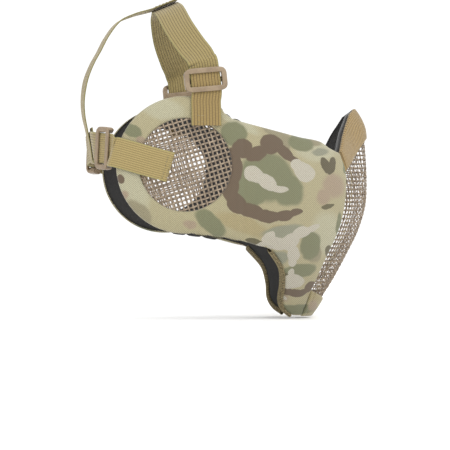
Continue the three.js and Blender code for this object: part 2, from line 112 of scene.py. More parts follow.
def half_width(y, z):
    """How far the face stands out from the middle at a depth and height: the section solved for its
    width, with the nose's part put in again and again until it settles."""
    half, ridge, nose = level(z)
    x = half * 0.9
    for _ in range(25):
        bump = nose * np.exp(-(x / NOSE_SPREAD) ** 2)
        cos = np.clip((WIDEST_Y - y - bump) / (ridge - nose + WIDEST_Y), 0, 1) ** (DEPTH_POWER / 2)
        x = half * np.maximum(1 - cos ** 2, 0) ** (1 / SIDE_POWER)
    back = half * np.sqrt(np.clip(1 - ((y - WIDEST_Y) / REAR_REACH) ** 2, 0, 1))
    return np.where(y > WIDEST_Y, back, x)


print("half width beside the ear:", half_width(np.array([0.0]), np.array([0.0])).round(1), "mm")

# %% [markdown]
# A layer under or over the face is the surface moved along its normal. The normal is not given by the
# formula, so it is found from the slopes between points a little to each side.

# %% Layers beside the face
def on_side(y, z, side, out=0.0):
    """A point on one side of the face, from depth and height, pushed out along the normal. With the
    width as a function of the two, the normal is (1, minus one slope, minus the other)."""
    e = 0.4  # millimetres to each side
    slope_y = (half_width(y + e, z) - half_width(y - e, z)) / (2 * e)
    slope_z = (half_width(y, z + e) - half_width(y, z - e)) / (2 * e)
    normal = np.stack([np.ones_like(slope_y), -slope_y, -slope_z], -1)
    normal /= np.linalg.norm(normal, axis=-1, keepdims=True)
    point = np.stack([half_width(y, z), y, z], -1) + normal * np.asarray(out)[..., None]
    return point * (side, 1, 1)


def on_front(angle, z, out=0.0):
    """The same round the front, from angle and height. The normal is the cross product of the steps
    round the head and up."""
    e = 0.004  # radians to each side
    across = face(angle + e, z) - face(angle - e, z)
    up = face(angle, z + 100 * e) - face(angle, z - 100 * e)
    normal = np.cross(across, up)
    normal /= np.maximum(np.linalg.norm(normal, axis=-1, keepdims=True), 1e-9)
    return face(angle, z) + normal * np.asarray(out)[..., None]


print("a layer 2 mm out, beside the ear:", on_side(np.array([0.0]), np.array([0.0]), 1, [2.0])[0].round(1))

# %% [markdown]
# ## From grids to meshes
# A grid of points becomes a mesh by joining each point to its neighbours. Thin pieces get a second
# skin and a rim, worked out here so that a piece is closed before anything bends it.

# %% Mesh helpers
def quads(rows, cols, wrap_rows=False, wrap_cols=False):
    """Corner numbers of the faces between the points of a grid; a wrapped side joins its ends."""
    i = np.arange(rows if wrap_rows else rows - 1)[:, None]
    j = np.arange(cols if wrap_cols else cols - 1)[None, :]
    i, j = np.broadcast_arrays(i, j)
    i1, j1 = (i + 1) % rows, (j + 1) % cols
    return np.stack([i * cols + j, i * cols + j1, i1 * cols + j1, i1 * cols + j], -1).reshape(-1, 4)


def weld(points, faces, step=0.02):
    """Points nearer than a step become one; faces that lose a corner go. The nearest multiple of the
    step is each point's key."""
    key = np.round(points / step).astype(np.int64)
    _, first, back = np.unique(key, axis=0, return_index=True, return_inverse=True)
    faces = back.reshape(-1)[faces]
    whole = (np.diff(np.sort(faces, 1), axis=1) > 0).all(1)
    return points[first], faces[whole]


def two_skins(outer, inner, faces):
    """A closed shell from two skins with the same faces: the inner one is turned over, and each edge
    that only one face has gets a rim."""
    edge = np.concatenate([faces[:, [k, (k + 1) % 4]] for k in range(4)])
    order = np.sort(edge, 1)
    _, back, count = np.unique(order, axis=0, return_inverse=True, return_counts=True)
    rim = edge[count[back.reshape(-1)] == 1]
    n = len(outer)
    wall = np.stack([rim[:, 1], rim[:, 0], rim[:, 0] + n, rim[:, 1] + n], -1)
    return np.concatenate([outer, inner]), np.concatenate([faces, faces[:, ::-1] + n, wall])


print("a grid of 3 by 4 points has", len(quads(3, 4)), "faces")

# %% [markdown]
# Blender takes the points and faces as lists. Every piece is made at the origin with its place in its
# points, so that a pattern that reads the piece's own coordinates lines up from piece to piece. Wires
# and threads are rings of points round a path, and one call makes as many of them as are needed.

# %% Pieces and tubes
def make(name, points, faces, finish, uv=None, flip=False):
    """A smooth mesh object at the origin from points in millimetres, in the given finish."""
    faces = np.asarray(faces)[:, ::-1] if flip else np.asarray(faces)
    mesh = bpy.data.meshes.new(name)
    mesh.from_pydata((np.asarray(points) * MM).tolist(), [], faces.tolist())
    if uv is not None:
        layer = mesh.uv_layers.new(name="along")
        layer.data.foreach_set("uv", np.asarray(uv)[faces.reshape(-1)].astype(np.float32).ravel())
    mesh.polygons.foreach_set("use_smooth", np.ones(len(mesh.polygons), bool))
    mesh.materials.append(finish)
    mesh.validate()
    piece = bpy.data.objects.new(name, mesh)
    bpy.context.scene.collection.objects.link(piece)
    return piece


def tube(path, radius, normal, sides=6, squeeze=1.0):
    """Rings round many paths at once. path has shape (wires, stations, 3); each ring is a circle in
    the plane of the given normal and of that normal crossed with the path's own direction."""
    run = np.gradient(path, axis=1)
    run /= np.maximum(np.linalg.norm(run, axis=-1, keepdims=True), 1e-9)
    side = np.cross(run, normal)
    side /= np.maximum(np.linalg.norm(side, axis=-1, keepdims=True), 1e-9)
    up = np.cross(side, run)
    turn = np.linspace(0, 2 * np.pi, sides, endpoint=False)
    ring = (path[:, :, None] + radius * (np.cos(turn)[:, None] * side[:, :, None]
                                         + squeeze * np.sin(turn)[:, None] * up[:, :, None]))
    wires, stations = path.shape[:2]
    one = quads(stations, sides, wrap_cols=True)
    k = np.arange(1, sides - 2, 2)
    cap = np.stack([0 * k, k, k + 1, k + 2], -1)
    one = np.concatenate([one, cap[:, ::-1], cap + (stations - 1) * sides])[:, ::-1]
    step = (np.arange(wires) * stations * sides)[:, None, None]
    return ring.reshape(-1, 3), (one[None] + step).reshape(-1, 4)


straight_wire = np.linspace((0, 0, 0), (9, 0, 0), 4)[None]
print("a tube of 4 rings has", len(tube(straight_wire, 1.0, np.array([0, 0, 1.0]))[1]), "faces")

# %% [markdown] ## The stage A pale floor and a sky of the same tone make the plain background, with
# three large soft lights and a camera with a long lens, level with the cheek and a little behind it.

# %% Floor and sky
FLOOR_Z, FLOOR_HALF = -117.6, 9000  # millimetres; the chin stands on the floor
pale = bpy.data.materials.new("pale paper")
pale.use_nodes = True
paper = pale.node_tree.nodes["Principled BSDF"].inputs
paper["Base Color"].default_value = (0.94, 0.94, 0.94, 1)
paper["Roughness"].default_value = 0.95
floor_points = [(x * FLOOR_HALF, y * FLOOR_HALF, FLOOR_Z) for x, y in ((-1, -1), (1, -1), (1, 1), (-1, 1))]
floor = make("floor", floor_points, [[0, 1, 2, 3]], pale)

sky = bpy.data.worlds.new("pale sky")
sky.use_nodes = True
light_of_sky = sky.node_tree.nodes["Background"].inputs
light_of_sky["Color"].default_value = (1, 1, 1, 1)
light_of_sky["Strength"].default_value = 1.1
bpy.context.scene.world = sky
bpy.context.scene.view_settings.view_transform = "Standard"

print("floor at", FLOOR_Z, "mm")

# %% [markdown]
# A soft light is a large one. The strongest stands in front and above on the right, a weaker one
# behind fills the shade, and a third lights the far side, which shows inside the shell.

# %% Lamps
LAMPS = (("key", (-1.3, -0.5, 1.3), 14, 0.9),  # name, place in metres, watts, width in metres
         ("fill", (-1.2, 1.1, 0.3), 5, 1.2),
         ("far", (1.3, -0.7, 1.0), 9, 1.0))
AIM = Vector((0, -0.03, -0.02))
for name, place, power, size in LAMPS:
    lamp = bpy.data.lights.new(name, "AREA")
    lamp.energy, lamp.size = power, size
    light = bpy.data.objects.new(name, lamp)
    light.location = place
    light.rotation_mode = "QUATERNION"
    light.rotation_quaternion = (AIM - Vector(place)).to_track_quat("-Z", "Y")
    bpy.context.scene.collection.objects.link(light)
print("lamps:", [name for name, *_ in LAMPS])

# %% [markdown]
# A camera looks along its own minus Z. Asking a direction for its track quaternion turns that axis
# along it and keeps the picture upright.

# %% Camera
CAMERA_PLACE, CAMERA_LOOKS = (-1.3864, 0.1546, -0.0444), (0.9903, -0.1392, 0)
lens = bpy.data.cameras.new("camera")
lens.lens, lens.sensor_width = 142.2, 36
camera = bpy.data.objects.new("camera", lens)
camera.location = CAMERA_PLACE
camera.rotation_mode = "QUATERNION"
camera.rotation_quaternion = Vector(CAMERA_LOOKS).to_track_quat("-Z", "Y")
bpy.context.scene.collection.objects.link(camera)
bpy.context.scene.camera = camera
print("camera", round(camera.location.length, 2), "m from the head")

# %% [markdown]
# ## Writing materials as sums
# A material's pattern is arithmetic on positions. Wired by hand that is hundreds of nodes, so a small
# class wraps a node's output: adding or multiplying two of them adds the Math node that does it.

# %% Values that can be added and multiplied
class Value:
    """One output of a node. Arithmetic on it adds Math nodes to the same material."""

    def __init__(self, finish, socket):
        self.finish, self.socket = finish, socket

    def math(self, operation, *values):
        """A Math node of the given operation on these values."""
        return self.finish.node("ShaderNodeMath", {"operation": operation}, values)

    def __add__(self, other): return self.math("ADD", self, other)
    def __radd__(self, other): return self.math("ADD", other, self)
    def __sub__(self, other): return self.math("SUBTRACT", self, other)
    def __rsub__(self, other): return self.math("SUBTRACT", other, self)
    def __mul__(self, other): return self.math("MULTIPLY", self, other)
    def __rmul__(self, other): return self.math("MULTIPLY", other, self)

    def sine(self):
        return self.math("SINE", self)

    def smallest(self, other):
        return self.math("MINIMUM", self, other)

    def size(self):
        """The value without its sign."""
        return self.math("ABSOLUTE", self)

    def ramp(self, low, high):
        """0 below low, 1 above high, and a smooth step between; low may be the larger."""
        return self.finish.node("ShaderNodeMapRange", {"interpolation_type": "SMOOTHSTEP"},
                                {"Value": self, "From Min": low, "From Max": high})


print("reflected operators:", [name for name in vars(Value) if name.startswith("__r")])

# %% [markdown]
# A finish is one material with one Principled shader. Its method `node` makes any node: first the
# node's own settings, then what goes into its sockets. A value that is the same everywhere is written
# on the shader's socket, and only what changes over the surface is linked.

# %% A finish
class Finish:
    """A material of one Principled shader; uniform values are set on its own sockets."""

    def __init__(self, name, **uniform):
        self.material = bpy.data.materials.new(name)
        self.material.use_nodes = True
        self.tree = self.material.node_tree
        self.shader = self.tree.nodes["Principled BSDF"]
        self.shade(**uniform)

    def put(self, socket, value):
        """Links a value to a socket, or writes a plain number, colour or vector on it."""
        if isinstance(value, Value):
            self.tree.links.new(value.socket, socket)
        else:
            socket.default_value = value

    def node(self, kind, settings=None, values=(), out=0):
        """A node of a type: settings first, then the values or links of its sockets."""
        node = self.tree.nodes.new(kind)
        for key, value in (settings or {}).items():
            setattr(node, key, value)
        pairs = values.items() if isinstance(values, dict) else enumerate(values)
        for key, value in pairs:
            self.put(node.inputs[key], value)
        return Value(self, node.outputs[out])

    def mix(self, share, low, high):
        """One colour over another by a share."""
        return self.node("ShaderNodeMix", {"data_type": "RGBA"}, {0: share, 6: low, 7: high}, out=2)

    def noise(self, at, scale, detail=2.0, out=0):
        """Soft noise; out 0 is one number, out 1 is three, for bending a plane."""
        return self.node("ShaderNodeTexNoise", {}, {"Vector": at, "Scale": scale, "Detail": detail}, out)

    def where(self, kind="Object"):
        """The place on the piece: Object is metres from the origin, UV is the piece's own map."""
        return self.node("ShaderNodeTexCoord", {}, out=kind)

    def parts(self, vector):
        """The three numbers of a vector, each as a value."""
        node = self.tree.nodes.new("ShaderNodeSeparateXYZ")
        self.put(node.inputs[0], vector)
        return [Value(self, node.outputs[k]) for k in range(3)]

    def shade(self, **sockets):
        """Fills the shader's sockets, named with underscores for spaces."""
        for socket, value in sockets.items():
            self.put(self.shader.inputs[socket.replace("_", " ")], value)

    def bump(self, height, depth):
        """Tilts the shading as if the surface stood up by a height times a depth in metres."""
        self.shade(Normal=self.node("ShaderNodeBump", {}, {
            "Height": height, "Distance": depth, "Strength": 1.0}))


print("methods of a finish:", [name for name in vars(Finish) if not name.startswith("__")])

# %% [markdown]
# The shader wants linear light, while a paint card's numbers follow the eye, which tells dark tones
# apart better. The known curve between the two is applied to each number.

# %% Paint
MIXED_DEEPER = 0.8  # a card is seen in daylight, and this stage is brighter


def paint(red, green, blue):
    """A colour given in the numbers of a paint card, as linear light with an alpha of 1: above the
    dark end, a shifted power of 2.4; below it, a straight line."""
    c = np.array([red, green, blue]) / 255
    c = np.where(c > 0.04045, ((c + 0.055) / 1.055) ** 2.4, c / 12.92) * MIXED_DEEPER
    return (*c.tolist(), 1.0)


print("sand is", [round(c, 3) for c in paint(200, 190, 150)[:3]], "in linear light")

# %% [markdown]
# ## The camouflage cloth
# The print is patches of paint laid over each other: pale ground, then greens, pinkish tans, olives,
# browns and cream. Each patch is an oval, and ovals of one colour melt into one shape because the
# smallest distance of all of them is taken. Noise bends the plane first, so that no edge stays oval.
# A fine diagonal twill runs over everything. Each colour has a softness for its edge, and each oval
# is given by its place forward and up, its two radii and its tilt.

# %% The print's patches, in millimetres and degrees
PRINT = [  # ink, softness of its edge, ovals
    ((203, 199, 168), 0.30, [
        (42, 31, 16, 3.6, -28), (-40, -20, 13, 26, 0), (-20, 44, 20, 9, -20), (104, 12, 17, 8, 0),
        (112, -50, 13, 16, 10)]),
    ((186, 172, 128), 0.25, [
        (44, -44, 22, 6.4, -20), (112, -96, 10, 10, 0), (20, 46, 9, 5, -40), (72, -47, 9, 3, 0)]),
    ((164, 156, 126), 0.18, [
        (70, 25, 12.5, 4.7, -24), (77, 15, 4.2, 6.2, 10), (104, -66, 6, 8, 10), (-36, -36, 13, 7, -45),
        (100, 20, 9, 3, -8)]),
    ((132, 136, 103), 0.14, [
        (62, -8, 22, 18, -24), (78, -18, 15, 12, -30), (52, -16, 14, 13, -20), (90, 18, 11, 6.4, -8),
        (36, 24, 10.3, 9, -30), (19, -43, 14, 7, -40), (92, -80, 14, 6, 8), (96, -110, 17, 4.6, 0),
        (-39, 25, 7.1, 5.2, -30), (100, -60, 8, 11, 12), (125, -48, 3, 12, 8), (129, 2, 2, 7, 0)]),
    ((156, 158, 136), 0.25, [
        (76, -49, 17, 4.6, 6), (73, -70, 9, 6, 10), (-44, 2, 5, 4, 0), (107, 12, 8, 3.4, 10)]),
    ((182, 162, 138), 0.30, [
        (118, -15, 9, 9, 10), (109, -23, 6, 6, 0), (-33, 18, 4, 2.8, 0), (109, -108, 4.4, 4.7, 0),
        (79, -101, 7, 3.6, -8), (-46, -22, 3, 4, 0), (3, -44, 5, 3, -20), (119, -74, 3, 7, 24)]),
    ((104, 98, 70), 0.06, [
        (55, -57, 9.7, 2.1, -10), (113, -30, 6, 1.7, 6), (116, -64, 2.6, 4.4, 0), (80, -84, 4, 2, 20)]),
    ((108, 89, 73), 0.05, [
        (66, 16, 9, 7.4, -6), (77, 9.5, 8, 4.6, -34), (84, 4.6, 5, 3, -20), (54, 9, 9, 5, 20),
        (43, 13, 8, 6.4, -10), (36, 0, 6.4, 14, 8), (33.6, -16, 6.6, 12, 4), (39, -28, 9, 7, -40),
        (50, -33, 11, 6, -18), (63, -37.4, 10, 4.8, -8), (76, -37.6, 9, 3.8, 6), (86, -35, 6, 2.6, 12),
        (77, -88, 3, 6, 10), (83, -95.5, 7, 3.2, -22), (92, -97, 7, 2.8, 8), (103, -92, 4, 4.6, -40),
        (97, -96.5, 6, 2.6, 20), (-48, -10, 2.6, 3.5, 0)]),
    ((92, 84, 60), 0.05, [
        (110.5, 0.6, 3.9, 7, 28), (116.6, 0.2, 3.4, 7.6, -18)]),
    ((211, 205, 188), 0.06, [
        (52, -6, 8, 6, -24), (62, -12, 9, 5, -30), (72, -17.5, 7.6, 2.6, -14), (92.5, -4.4, 9.4, 7.4, -28),
        (86, 1.4, 5, 4, 0), (65, -54, 5.4, 4.6, 30), (60, -59, 7, 2.2, 14), (72, -58, 8, 5, 0),
        (82, -57, 8, 6, 10), (91, -51, 9, 4.2, 22), (100, -47, 6, 2.8, 20), (86, -66, 6, 6, 10),
        (86, -73, 4, 3.4, 0), (88, -88, 9.4, 6, 4), (86, -81.5, 2.6, 3.6, 0), (80, -101, 5, 1.6, -16)]),
]
print("patches:", sum(len(ovals) for _, _, ovals in PRINT))

# %% [markdown]
# The cloth's material lays the inks over each other in the table's order. A Mapping node of the
# Texture kind turns an oval into a circle of radius 1, so the length of its result says whether a
# point is inside. On the second side the print is turned half round and repeats, as on the bolt that
# both sides are cut from.

# %% The printed cloth
REPEAT_FROM, REPEAT_TO = -47.0, 127.0  # millimetres forward, where the second side's print repeats


def camo_cloth(name, turned):
    """The printed cloth: noise bends the plane, each ink fades in where its nearest oval is closer
    than its radius, and a slanting sine lays the twill's dark valleys over all of it."""
    cloth = Finish(name, Roughness=0.92, Sheen_Weight=0.25, Sheen_Roughness=0.5)
    x, y, z = cloth.parts(cloth.where())
    forward, height = y * -1000, z * 1000
    if turned:
        forward, height = forward.math("WRAP", 174 - forward, REPEAT_TO, REPEAT_FROM), -84 - height
    plane = cloth.node("ShaderNodeCombineXYZ", {}, (forward, height, 0.0))
    warp = plane
    for scale, reach in ((0.06, 6.0), (0.16, 1.5)):
        drift = cloth.node("ShaderNodeVectorMath", {"operation": "SUBTRACT"},
                           (cloth.noise(plane, scale, 2.0, out=1), (0.5, 0.5, 0.5)))
        reach = cloth.node("ShaderNodeVectorMath", {"operation": "MULTIPLY"}, (drift, (reach, reach, 0.0)))
        warp = cloth.node("ShaderNodeVectorMath", {"operation": "ADD"}, (warp, reach))
    colour = paint(193, 184, 146)
    for ink, soft, ovals in PRINT:
        nearest = None
        for f, h, wide, tall, tilt in ovals:
            local = cloth.node("ShaderNodeMapping", {"vector_type": "TEXTURE"}, {
                "Vector": warp, "Location": (f, h, 0), "Rotation": (0, 0, np.radians(tilt)),
                "Scale": (wide, tall, 1)})
            far = cloth.node("ShaderNodeVectorMath", {"operation": "LENGTH"}, (local,), out=1)
            nearest = far if nearest is None else nearest.smallest(far)
        colour = cloth.mix(nearest.ramp(1 + soft, 1 - soft), colour, paint(*ink))
    fuzz = cloth.noise(plane, 1.3, 3.0)
    twill = ((forward + height * 1.2) * 3.6).sine()
    thread = twill * 0.5 + 0.5
    colour = cloth.mix(thread * 0.5 + fuzz * 0.6 - 0.18, colour, paint(88, 80, 60))
    cloth.shade(Base_Color=colour)
    cloth.bump(thread + fuzz * 0.7, 0.00012)
    return cloth.material


camo_right = camo_cloth("camouflage cloth, right", False)
camo_left = camo_cloth("camouflage cloth, left", True)
print("camouflage nodes:", len(camo_right.node_tree.nodes))

# %% [markdown]
# ## The other finishes
# Webbing is elastic woven with lengthwise cords, so its pattern must follow the strap: it reads the
# strap's own map, which runs 0 to 1 across and in millimetres along. The lining is black brushed
# cloth, the wire is painted steel, and the buckles are dull moulded plastic.

# %% Webbing
def elastic(name, light, dark, cords):
    """Elastic webbing: dark grooves between lengthwise cords, crossed by fine weft."""
    cloth = Finish(name, Roughness=0.8, Sheen_Weight=0.2, Sheen_Roughness=0.45)
    across, along, _ = cloth.parts(cloth.where("UV"))
    groove = (across * (np.pi * cords)).sine().size().ramp(0.62, 0.05)
    weft = (along * 5.2 + (across * (np.pi * cords)).sine() * 1.4).sine() * 0.5 + 0.5
    spot = cloth.noise(cloth.where(), 900.0, 3.0)
    edge = (across - 0.5).size().ramp(0.43, 0.5)
    colour = cloth.mix(groove * 0.75, paint(*light), paint(*dark))
    colour = cloth.mix(weft * 0.22 + spot * 0.2, colour, paint(*dark))
    colour = cloth.mix(edge * 0.45, colour, paint(150, 150, 92))
    cloth.shade(Base_Color=colour)
    cloth.bump(weft * 0.5 - groove + spot * 0.3, 0.00015)
    return cloth.material


strap_web = elastic("gold elastic", (168, 150, 96), (84, 70, 42), 11)
tab_web = elastic("brown gold elastic", (162, 138, 84), (80, 62, 36), 10)
rear_web = elastic("pale gold elastic", (180, 160, 104), (102, 86, 52), 14)
print("webbing nodes:", len(strap_web.node_tree.nodes))

# %% [markdown]
# The plainer finishes are two tones of one colour, mixed by fine noise. They differ in the size of the
# noise, in how rough they are and in how much the lining's and the tape's fibres catch the light.

# %% Lining, wire, plastic and thread
def spotted(name, light, dark, scale, depth, **uniform):
    """Two tones by fine noise, with the noise raised a little."""
    finish = Finish(name, **uniform)
    spot = finish.noise(finish.where(), scale, 4.0)
    finish.shade(Base_Color=finish.mix(spot.ramp(0.35, 0.68), paint(*light), paint(*dark)))
    finish.bump(spot, depth)
    return finish.material


lining = spotted("black brushed lining", (34, 32, 31), (16, 15, 15), 1400.0, 0.0002, Roughness=0.96,
                 Sheen_Weight=0.3, Sheen_Roughness=0.6)
wire = spotted("painted wire", (172, 154, 132), (124, 108, 90), 420.0, 0.00003, Roughness=0.5, Metallic=0.15)
plastic = spotted("moulded plastic", (152, 132, 106), (138, 118, 94), 160.0, 0.00003, Roughness=0.42)
thread = spotted("binding thread", (118, 102, 72), (44, 38, 30), 700.0, 0.0001, Roughness=0.9)
seam_thread = spotted("seam thread", (170, 156, 116), (112, 100, 72), 900.0, 0.00005, Roughness=0.9)
print("plastic is", [round(c, 3) for c in paint(152, 132, 106)[:3]], "in linear light")

# %% [markdown]
# The tape over the nose is woven with ribs across its length. They follow the piece's own map, whose
# second number counts millimetres along the tape, and noise makes them waver.

# %% Nose tape's weave
def ribbed_tape(name):
    """Binding tape: wavy ribs across its length, a little uneven."""
    tape = Finish(name, Roughness=0.85, Sheen_Weight=0.2, Sheen_Roughness=0.5)
    across, along, _ = tape.parts(tape.where("UV"))
    drift = tape.noise(tape.where(), 90.0, 3.0)
    rib = (along * 2.9 + drift * 5 + across * 1.6).sine() * 0.5 + 0.5
    spot = tape.noise(tape.where(), 1100.0, 3.0)
    colour = tape.mix(rib * 0.7 + spot * 0.3, paint(190, 162, 110), paint(98, 78, 46))
    tape.shade(Base_Color=colour)
    tape.bump(rib * -1 + spot * 0.4, 0.0003)
    return tape.material


nose_tape = ribbed_tape("ribbed nose tape")
print("finishes:", len(bpy.data.materials))

# %% [markdown]
# ## Outlines seen from the side
# The cloth is cut to outlines that are easiest to give as seen from the side, as depth and height.
# Each is a smooth line through a few points. The distance from a point of the cloth to these lines
# says how far the cloth has rolled over at its edge.

# %% Outlines
CREASE_TOP, CREASE_BOTTOM = (-44, 33.2), (-44, -57)
EAR_MIDDLE, EAR_RADIUS, OPENING = 0.3, 51.8, 35
SEAM = [(-126, 12.1), (-130.6, -2.4), (-130.1, -21), (-126, -45), (-115.5, -70.7), (-105.6, -96),
        (-102.5, -106), (-99.5, -116.5)]
CHEEK_TOP = [CREASE_TOP, (-60.5, 29.4), (-90.3, 23), (-108.4, 20.3), (-117, 15.5), (-126, 12.1)]
JAW = [(-67.8, -64.1), (-78.7, -78.8), (-81.2, -92), (-81, -104), (-84, -110.5), (-90, -115.2)]
CHEEK_BOTTOM = [CREASE_BOTTOM, (-56, -60.5), *JAW, (-99.5, -116.5)]
NOSE_ARCH = [(-126, 12.1), (-130.5, 24), (-134.5, 34), (-138.8, 43.5), (-143.7, 48), (-151, 52.5)]
NOSE_LOWER = [(-130.6, -2.4), (-138, 5.5), (-145, 14), (-153, 23.5), (-160, 24.2)]


def line(points, shares):
    """A smooth line through points, read at shares of its length: each coordinate is a smooth curve
    over the distance walked along the points."""
    points = np.asarray(points, float)
    walked = np.concatenate([[0], np.cumsum(np.linalg.norm(np.diff(points, axis=0), axis=1))])
    shares = np.asarray(shares) * walked[-1]
    return np.stack([through(walked, points[:, k], shares) for k in range(points.shape[1])], -1)


def distance(y, z, outline):
    """The least distance from each point to an outline's short pieces."""
    a, b = outline[:-1], outline[1:]
    p = np.stack([y, z], -1).reshape(-1, 1, 2)
    t = np.clip(np.sum((p - a) * (b - a), -1) / np.maximum(np.sum((b - a) ** 2, -1), 1e-9), 0, 1)
    return np.min(np.linalg.norm(p - a - t[..., None] * (b - a), axis=-1), 1).reshape(y.shape)


def stations(length, step, near=(0.15, 0.45, 0.95, 1.6, 2.4), start=True, end=True):
    """Shares of a length: even steps, with closer ones near the ends that roll over."""
    inner = np.array(near) / length
    low = np.concatenate([[0], inner]) if start else np.array([0.0])
    high = np.concatenate([1 - inner[::-1], [1]]) if end else np.array([1.0])
    count = max(int(length * (high[0] - low[-1]) / step), 2)
    return np.concatenate([low, np.linspace(low[-1], high[0], count + 1)[1:-1], high])


print("jaw:", len(JAW), "points")

# %% [markdown]
# The ear's rim is most of a circle, joined to the cheek by short lines above and below. Put together
# with the cheek's upper and lower outlines it makes the free edge of one side.

# %% Free edge and seam
arc = np.radians(np.linspace(121, -96, 120))
EAR_EDGE = np.concatenate([[CREASE_TOP, (-36, 35.4), (-30, 39.6)],
                           np.stack([EAR_RADIUS * np.cos(arc), EAR_MIDDLE + EAR_RADIUS * np.sin(arc)], -1),
                           [(-18, -52.8), (-31, -54.4), CREASE_BOTTOM]])
even = np.linspace(0, 1, 240)
FREE_EDGE = np.concatenate([line(CHEEK_BOTTOM, even)[::-1], EAR_EDGE[::-1], line(CHEEK_TOP, even)])
SEAM_LINE = line(SEAM, even)
print("free edge", round(float(np.linalg.norm(np.diff(FREE_EDGE, axis=0), axis=1).sum())), "mm a side")

# %% [markdown]
# ## One plane of points for each side
# The cover of one side has a round opening, so no single grid fits it. Two grids do: a polar one round
# the ear, and a four-sided one over the cheek whose inside is a blend of its four edges. They share
# the points of the fold line between ear and cheek, and are welded there.

# %% The plane of points
up_the_fold = stations(90.2, 1.7)
fold_z = CREASE_BOTTOM[1] + 90.2 * up_the_fold
fold_angle = np.arctan2(fold_z - EAR_MIDDLE, -44) % (2 * np.pi)
around = np.concatenate([fold_angle[::-1], np.linspace(fold_angle[0], fold_angle[-1] + 2 * np.pi, 230)[1:-1]])
edge_angle = np.unwrap(np.arctan2(EAR_EDGE[:, 1] - EAR_MIDDLE, EAR_EDGE[:, 0]))
edge_reach = np.hypot(EAR_EDGE[:, 0], EAR_EDGE[:, 1] - EAR_MIDDLE)
turned = (around - edge_angle[0]) % (2 * np.pi)
free = turned - 2 * np.pi
reach = np.interp(free, (edge_angle - edge_angle[0])[::-1], edge_reach[::-1])
on_fold = np.arange(len(around)) < len(fold_angle)
reach[on_fold] = 44 / np.abs(np.cos(around[on_fold]))
outwards = stations(17, 1.5)[:, None]
radius = OPENING + (reach - OPENING)[None] * outwards
ring_plane = np.stack([radius * np.cos(around), EAR_MIDDLE + radius * np.sin(around)], -1)

s = stations(88, 1.7, start=False)[:, None, None]
t = up_the_fold[None, :, None]
low, high = line(CHEEK_BOTTOM, s[:, 0, 0])[:, None], line(CHEEK_TOP, s[:, 0, 0])[:, None]
rear = np.stack([np.full_like(fold_z, -44.0), fold_z], -1)[None]
fore = line(SEAM[::-1], up_the_fold)[None]
rear_low, fore_low, rear_high, fore_high = np.array([CREASE_BOTTOM, SEAM[-1], CREASE_TOP, SEAM[0]], float)
cheek_plane = ((1 - t) * low + t * high + (1 - s) * rear + s * fore
               - (1 - s) * (1 - t) * rear_low - s * (1 - t) * fore_low
               - (1 - s) * t * rear_high - s * t * fore_high)
for _ in range(60):  # evens the inside out: each point moves to the middle of its four neighbours
    inside = (cheek_plane[:-2, 1:-1] + cheek_plane[2:, 1:-1]
              + cheek_plane[1:-1, :-2] + cheek_plane[1:-1, 2:]) / 4
    cheek_plane[6:-6, 6:-6] = inside[5:-5, 5:-5]

ring_faces = quads(*ring_plane.shape[:2], wrap_cols=True)
cheek_faces = quads(*cheek_plane.shape[:2]) + ring_plane.shape[0] * ring_plane.shape[1]
plane = np.concatenate([ring_plane.reshape(-1, 2), cheek_plane.reshape(-1, 2)])
flat = np.concatenate([plane, np.zeros((len(plane), 1))], 1)
flat, plane_faces = weld(flat, np.concatenate([ring_faces, cheek_faces[:, ::-1]]))
side_of = flat[plane_faces]
turn = (np.cross(side_of[:, 1] - side_of[:, 0], side_of[:, 2] - side_of[:, 0])
        + np.cross(side_of[:, 2] - side_of[:, 0], side_of[:, 3] - side_of[:, 0]))[:, 2]
plane_faces = np.where((turn < 0)[:, None], plane_faces[:, ::-1], plane_faces)
py, pz = flat[:, 0], flat[:, 1]
to_edge, to_seam = distance(py, pz, FREE_EDGE), distance(py, pz, SEAM_LINE)
to_opening = np.hypot(py, pz - EAR_MIDDLE) - OPENING
print("plane of points:", len(flat), "points,", len(plane_faces), "faces")

# %% [markdown]
# ## Covers and linings
# The cover is cloth over foam. Away from the edges it swells a little, and at an edge it turns down
# along a quarter circle. The lining does the same from the inside, so the two close the pad between
# them. The cloth runs across the hinge beside the ear without a break.

# %% Rolled edges
def roll(d, r):
    """A quarter circle: nothing from r inwards, r down at the edge itself."""
    return np.sqrt(np.maximum(r ** 2 - (r - np.clip(d, 0, r)) ** 2, 0)) - r


def swell(d, height, reach):
    """Grows from nothing at the edge towards a height: one less an exponential over a reach."""
    return height * (1 - np.exp(-np.maximum(d, 0) / reach))


def wrinkle(y, z):
    """A few long soft waves that cross each other, and the shallow fold beside the ear."""
    waves = np.sin(y / 9.1 + z / 13.7) * np.sin(y / 17.3 - z / 11.9 + 1.3) + 0.5 * np.sin(y / 5.3 - z / 21)
    return 0.16 * waves - 0.45 * np.exp(-((y + 44) / 2.4) ** 2) * np.clip(to_opening / 9, 0, 1)


print("a roll of 2 mm, half way in:", round(float(roll(1.0, 2.0)), 2), "mm")

# %% [markdown]
# Each layer is now a height over the face for every point of the plane: swelling, minus the rolled
# edges, plus wrinkles, minus the valleys that the stitches pull in. At the free edge the cloth turns
# in towards the lining, except along the jaw, where the binding closes it.

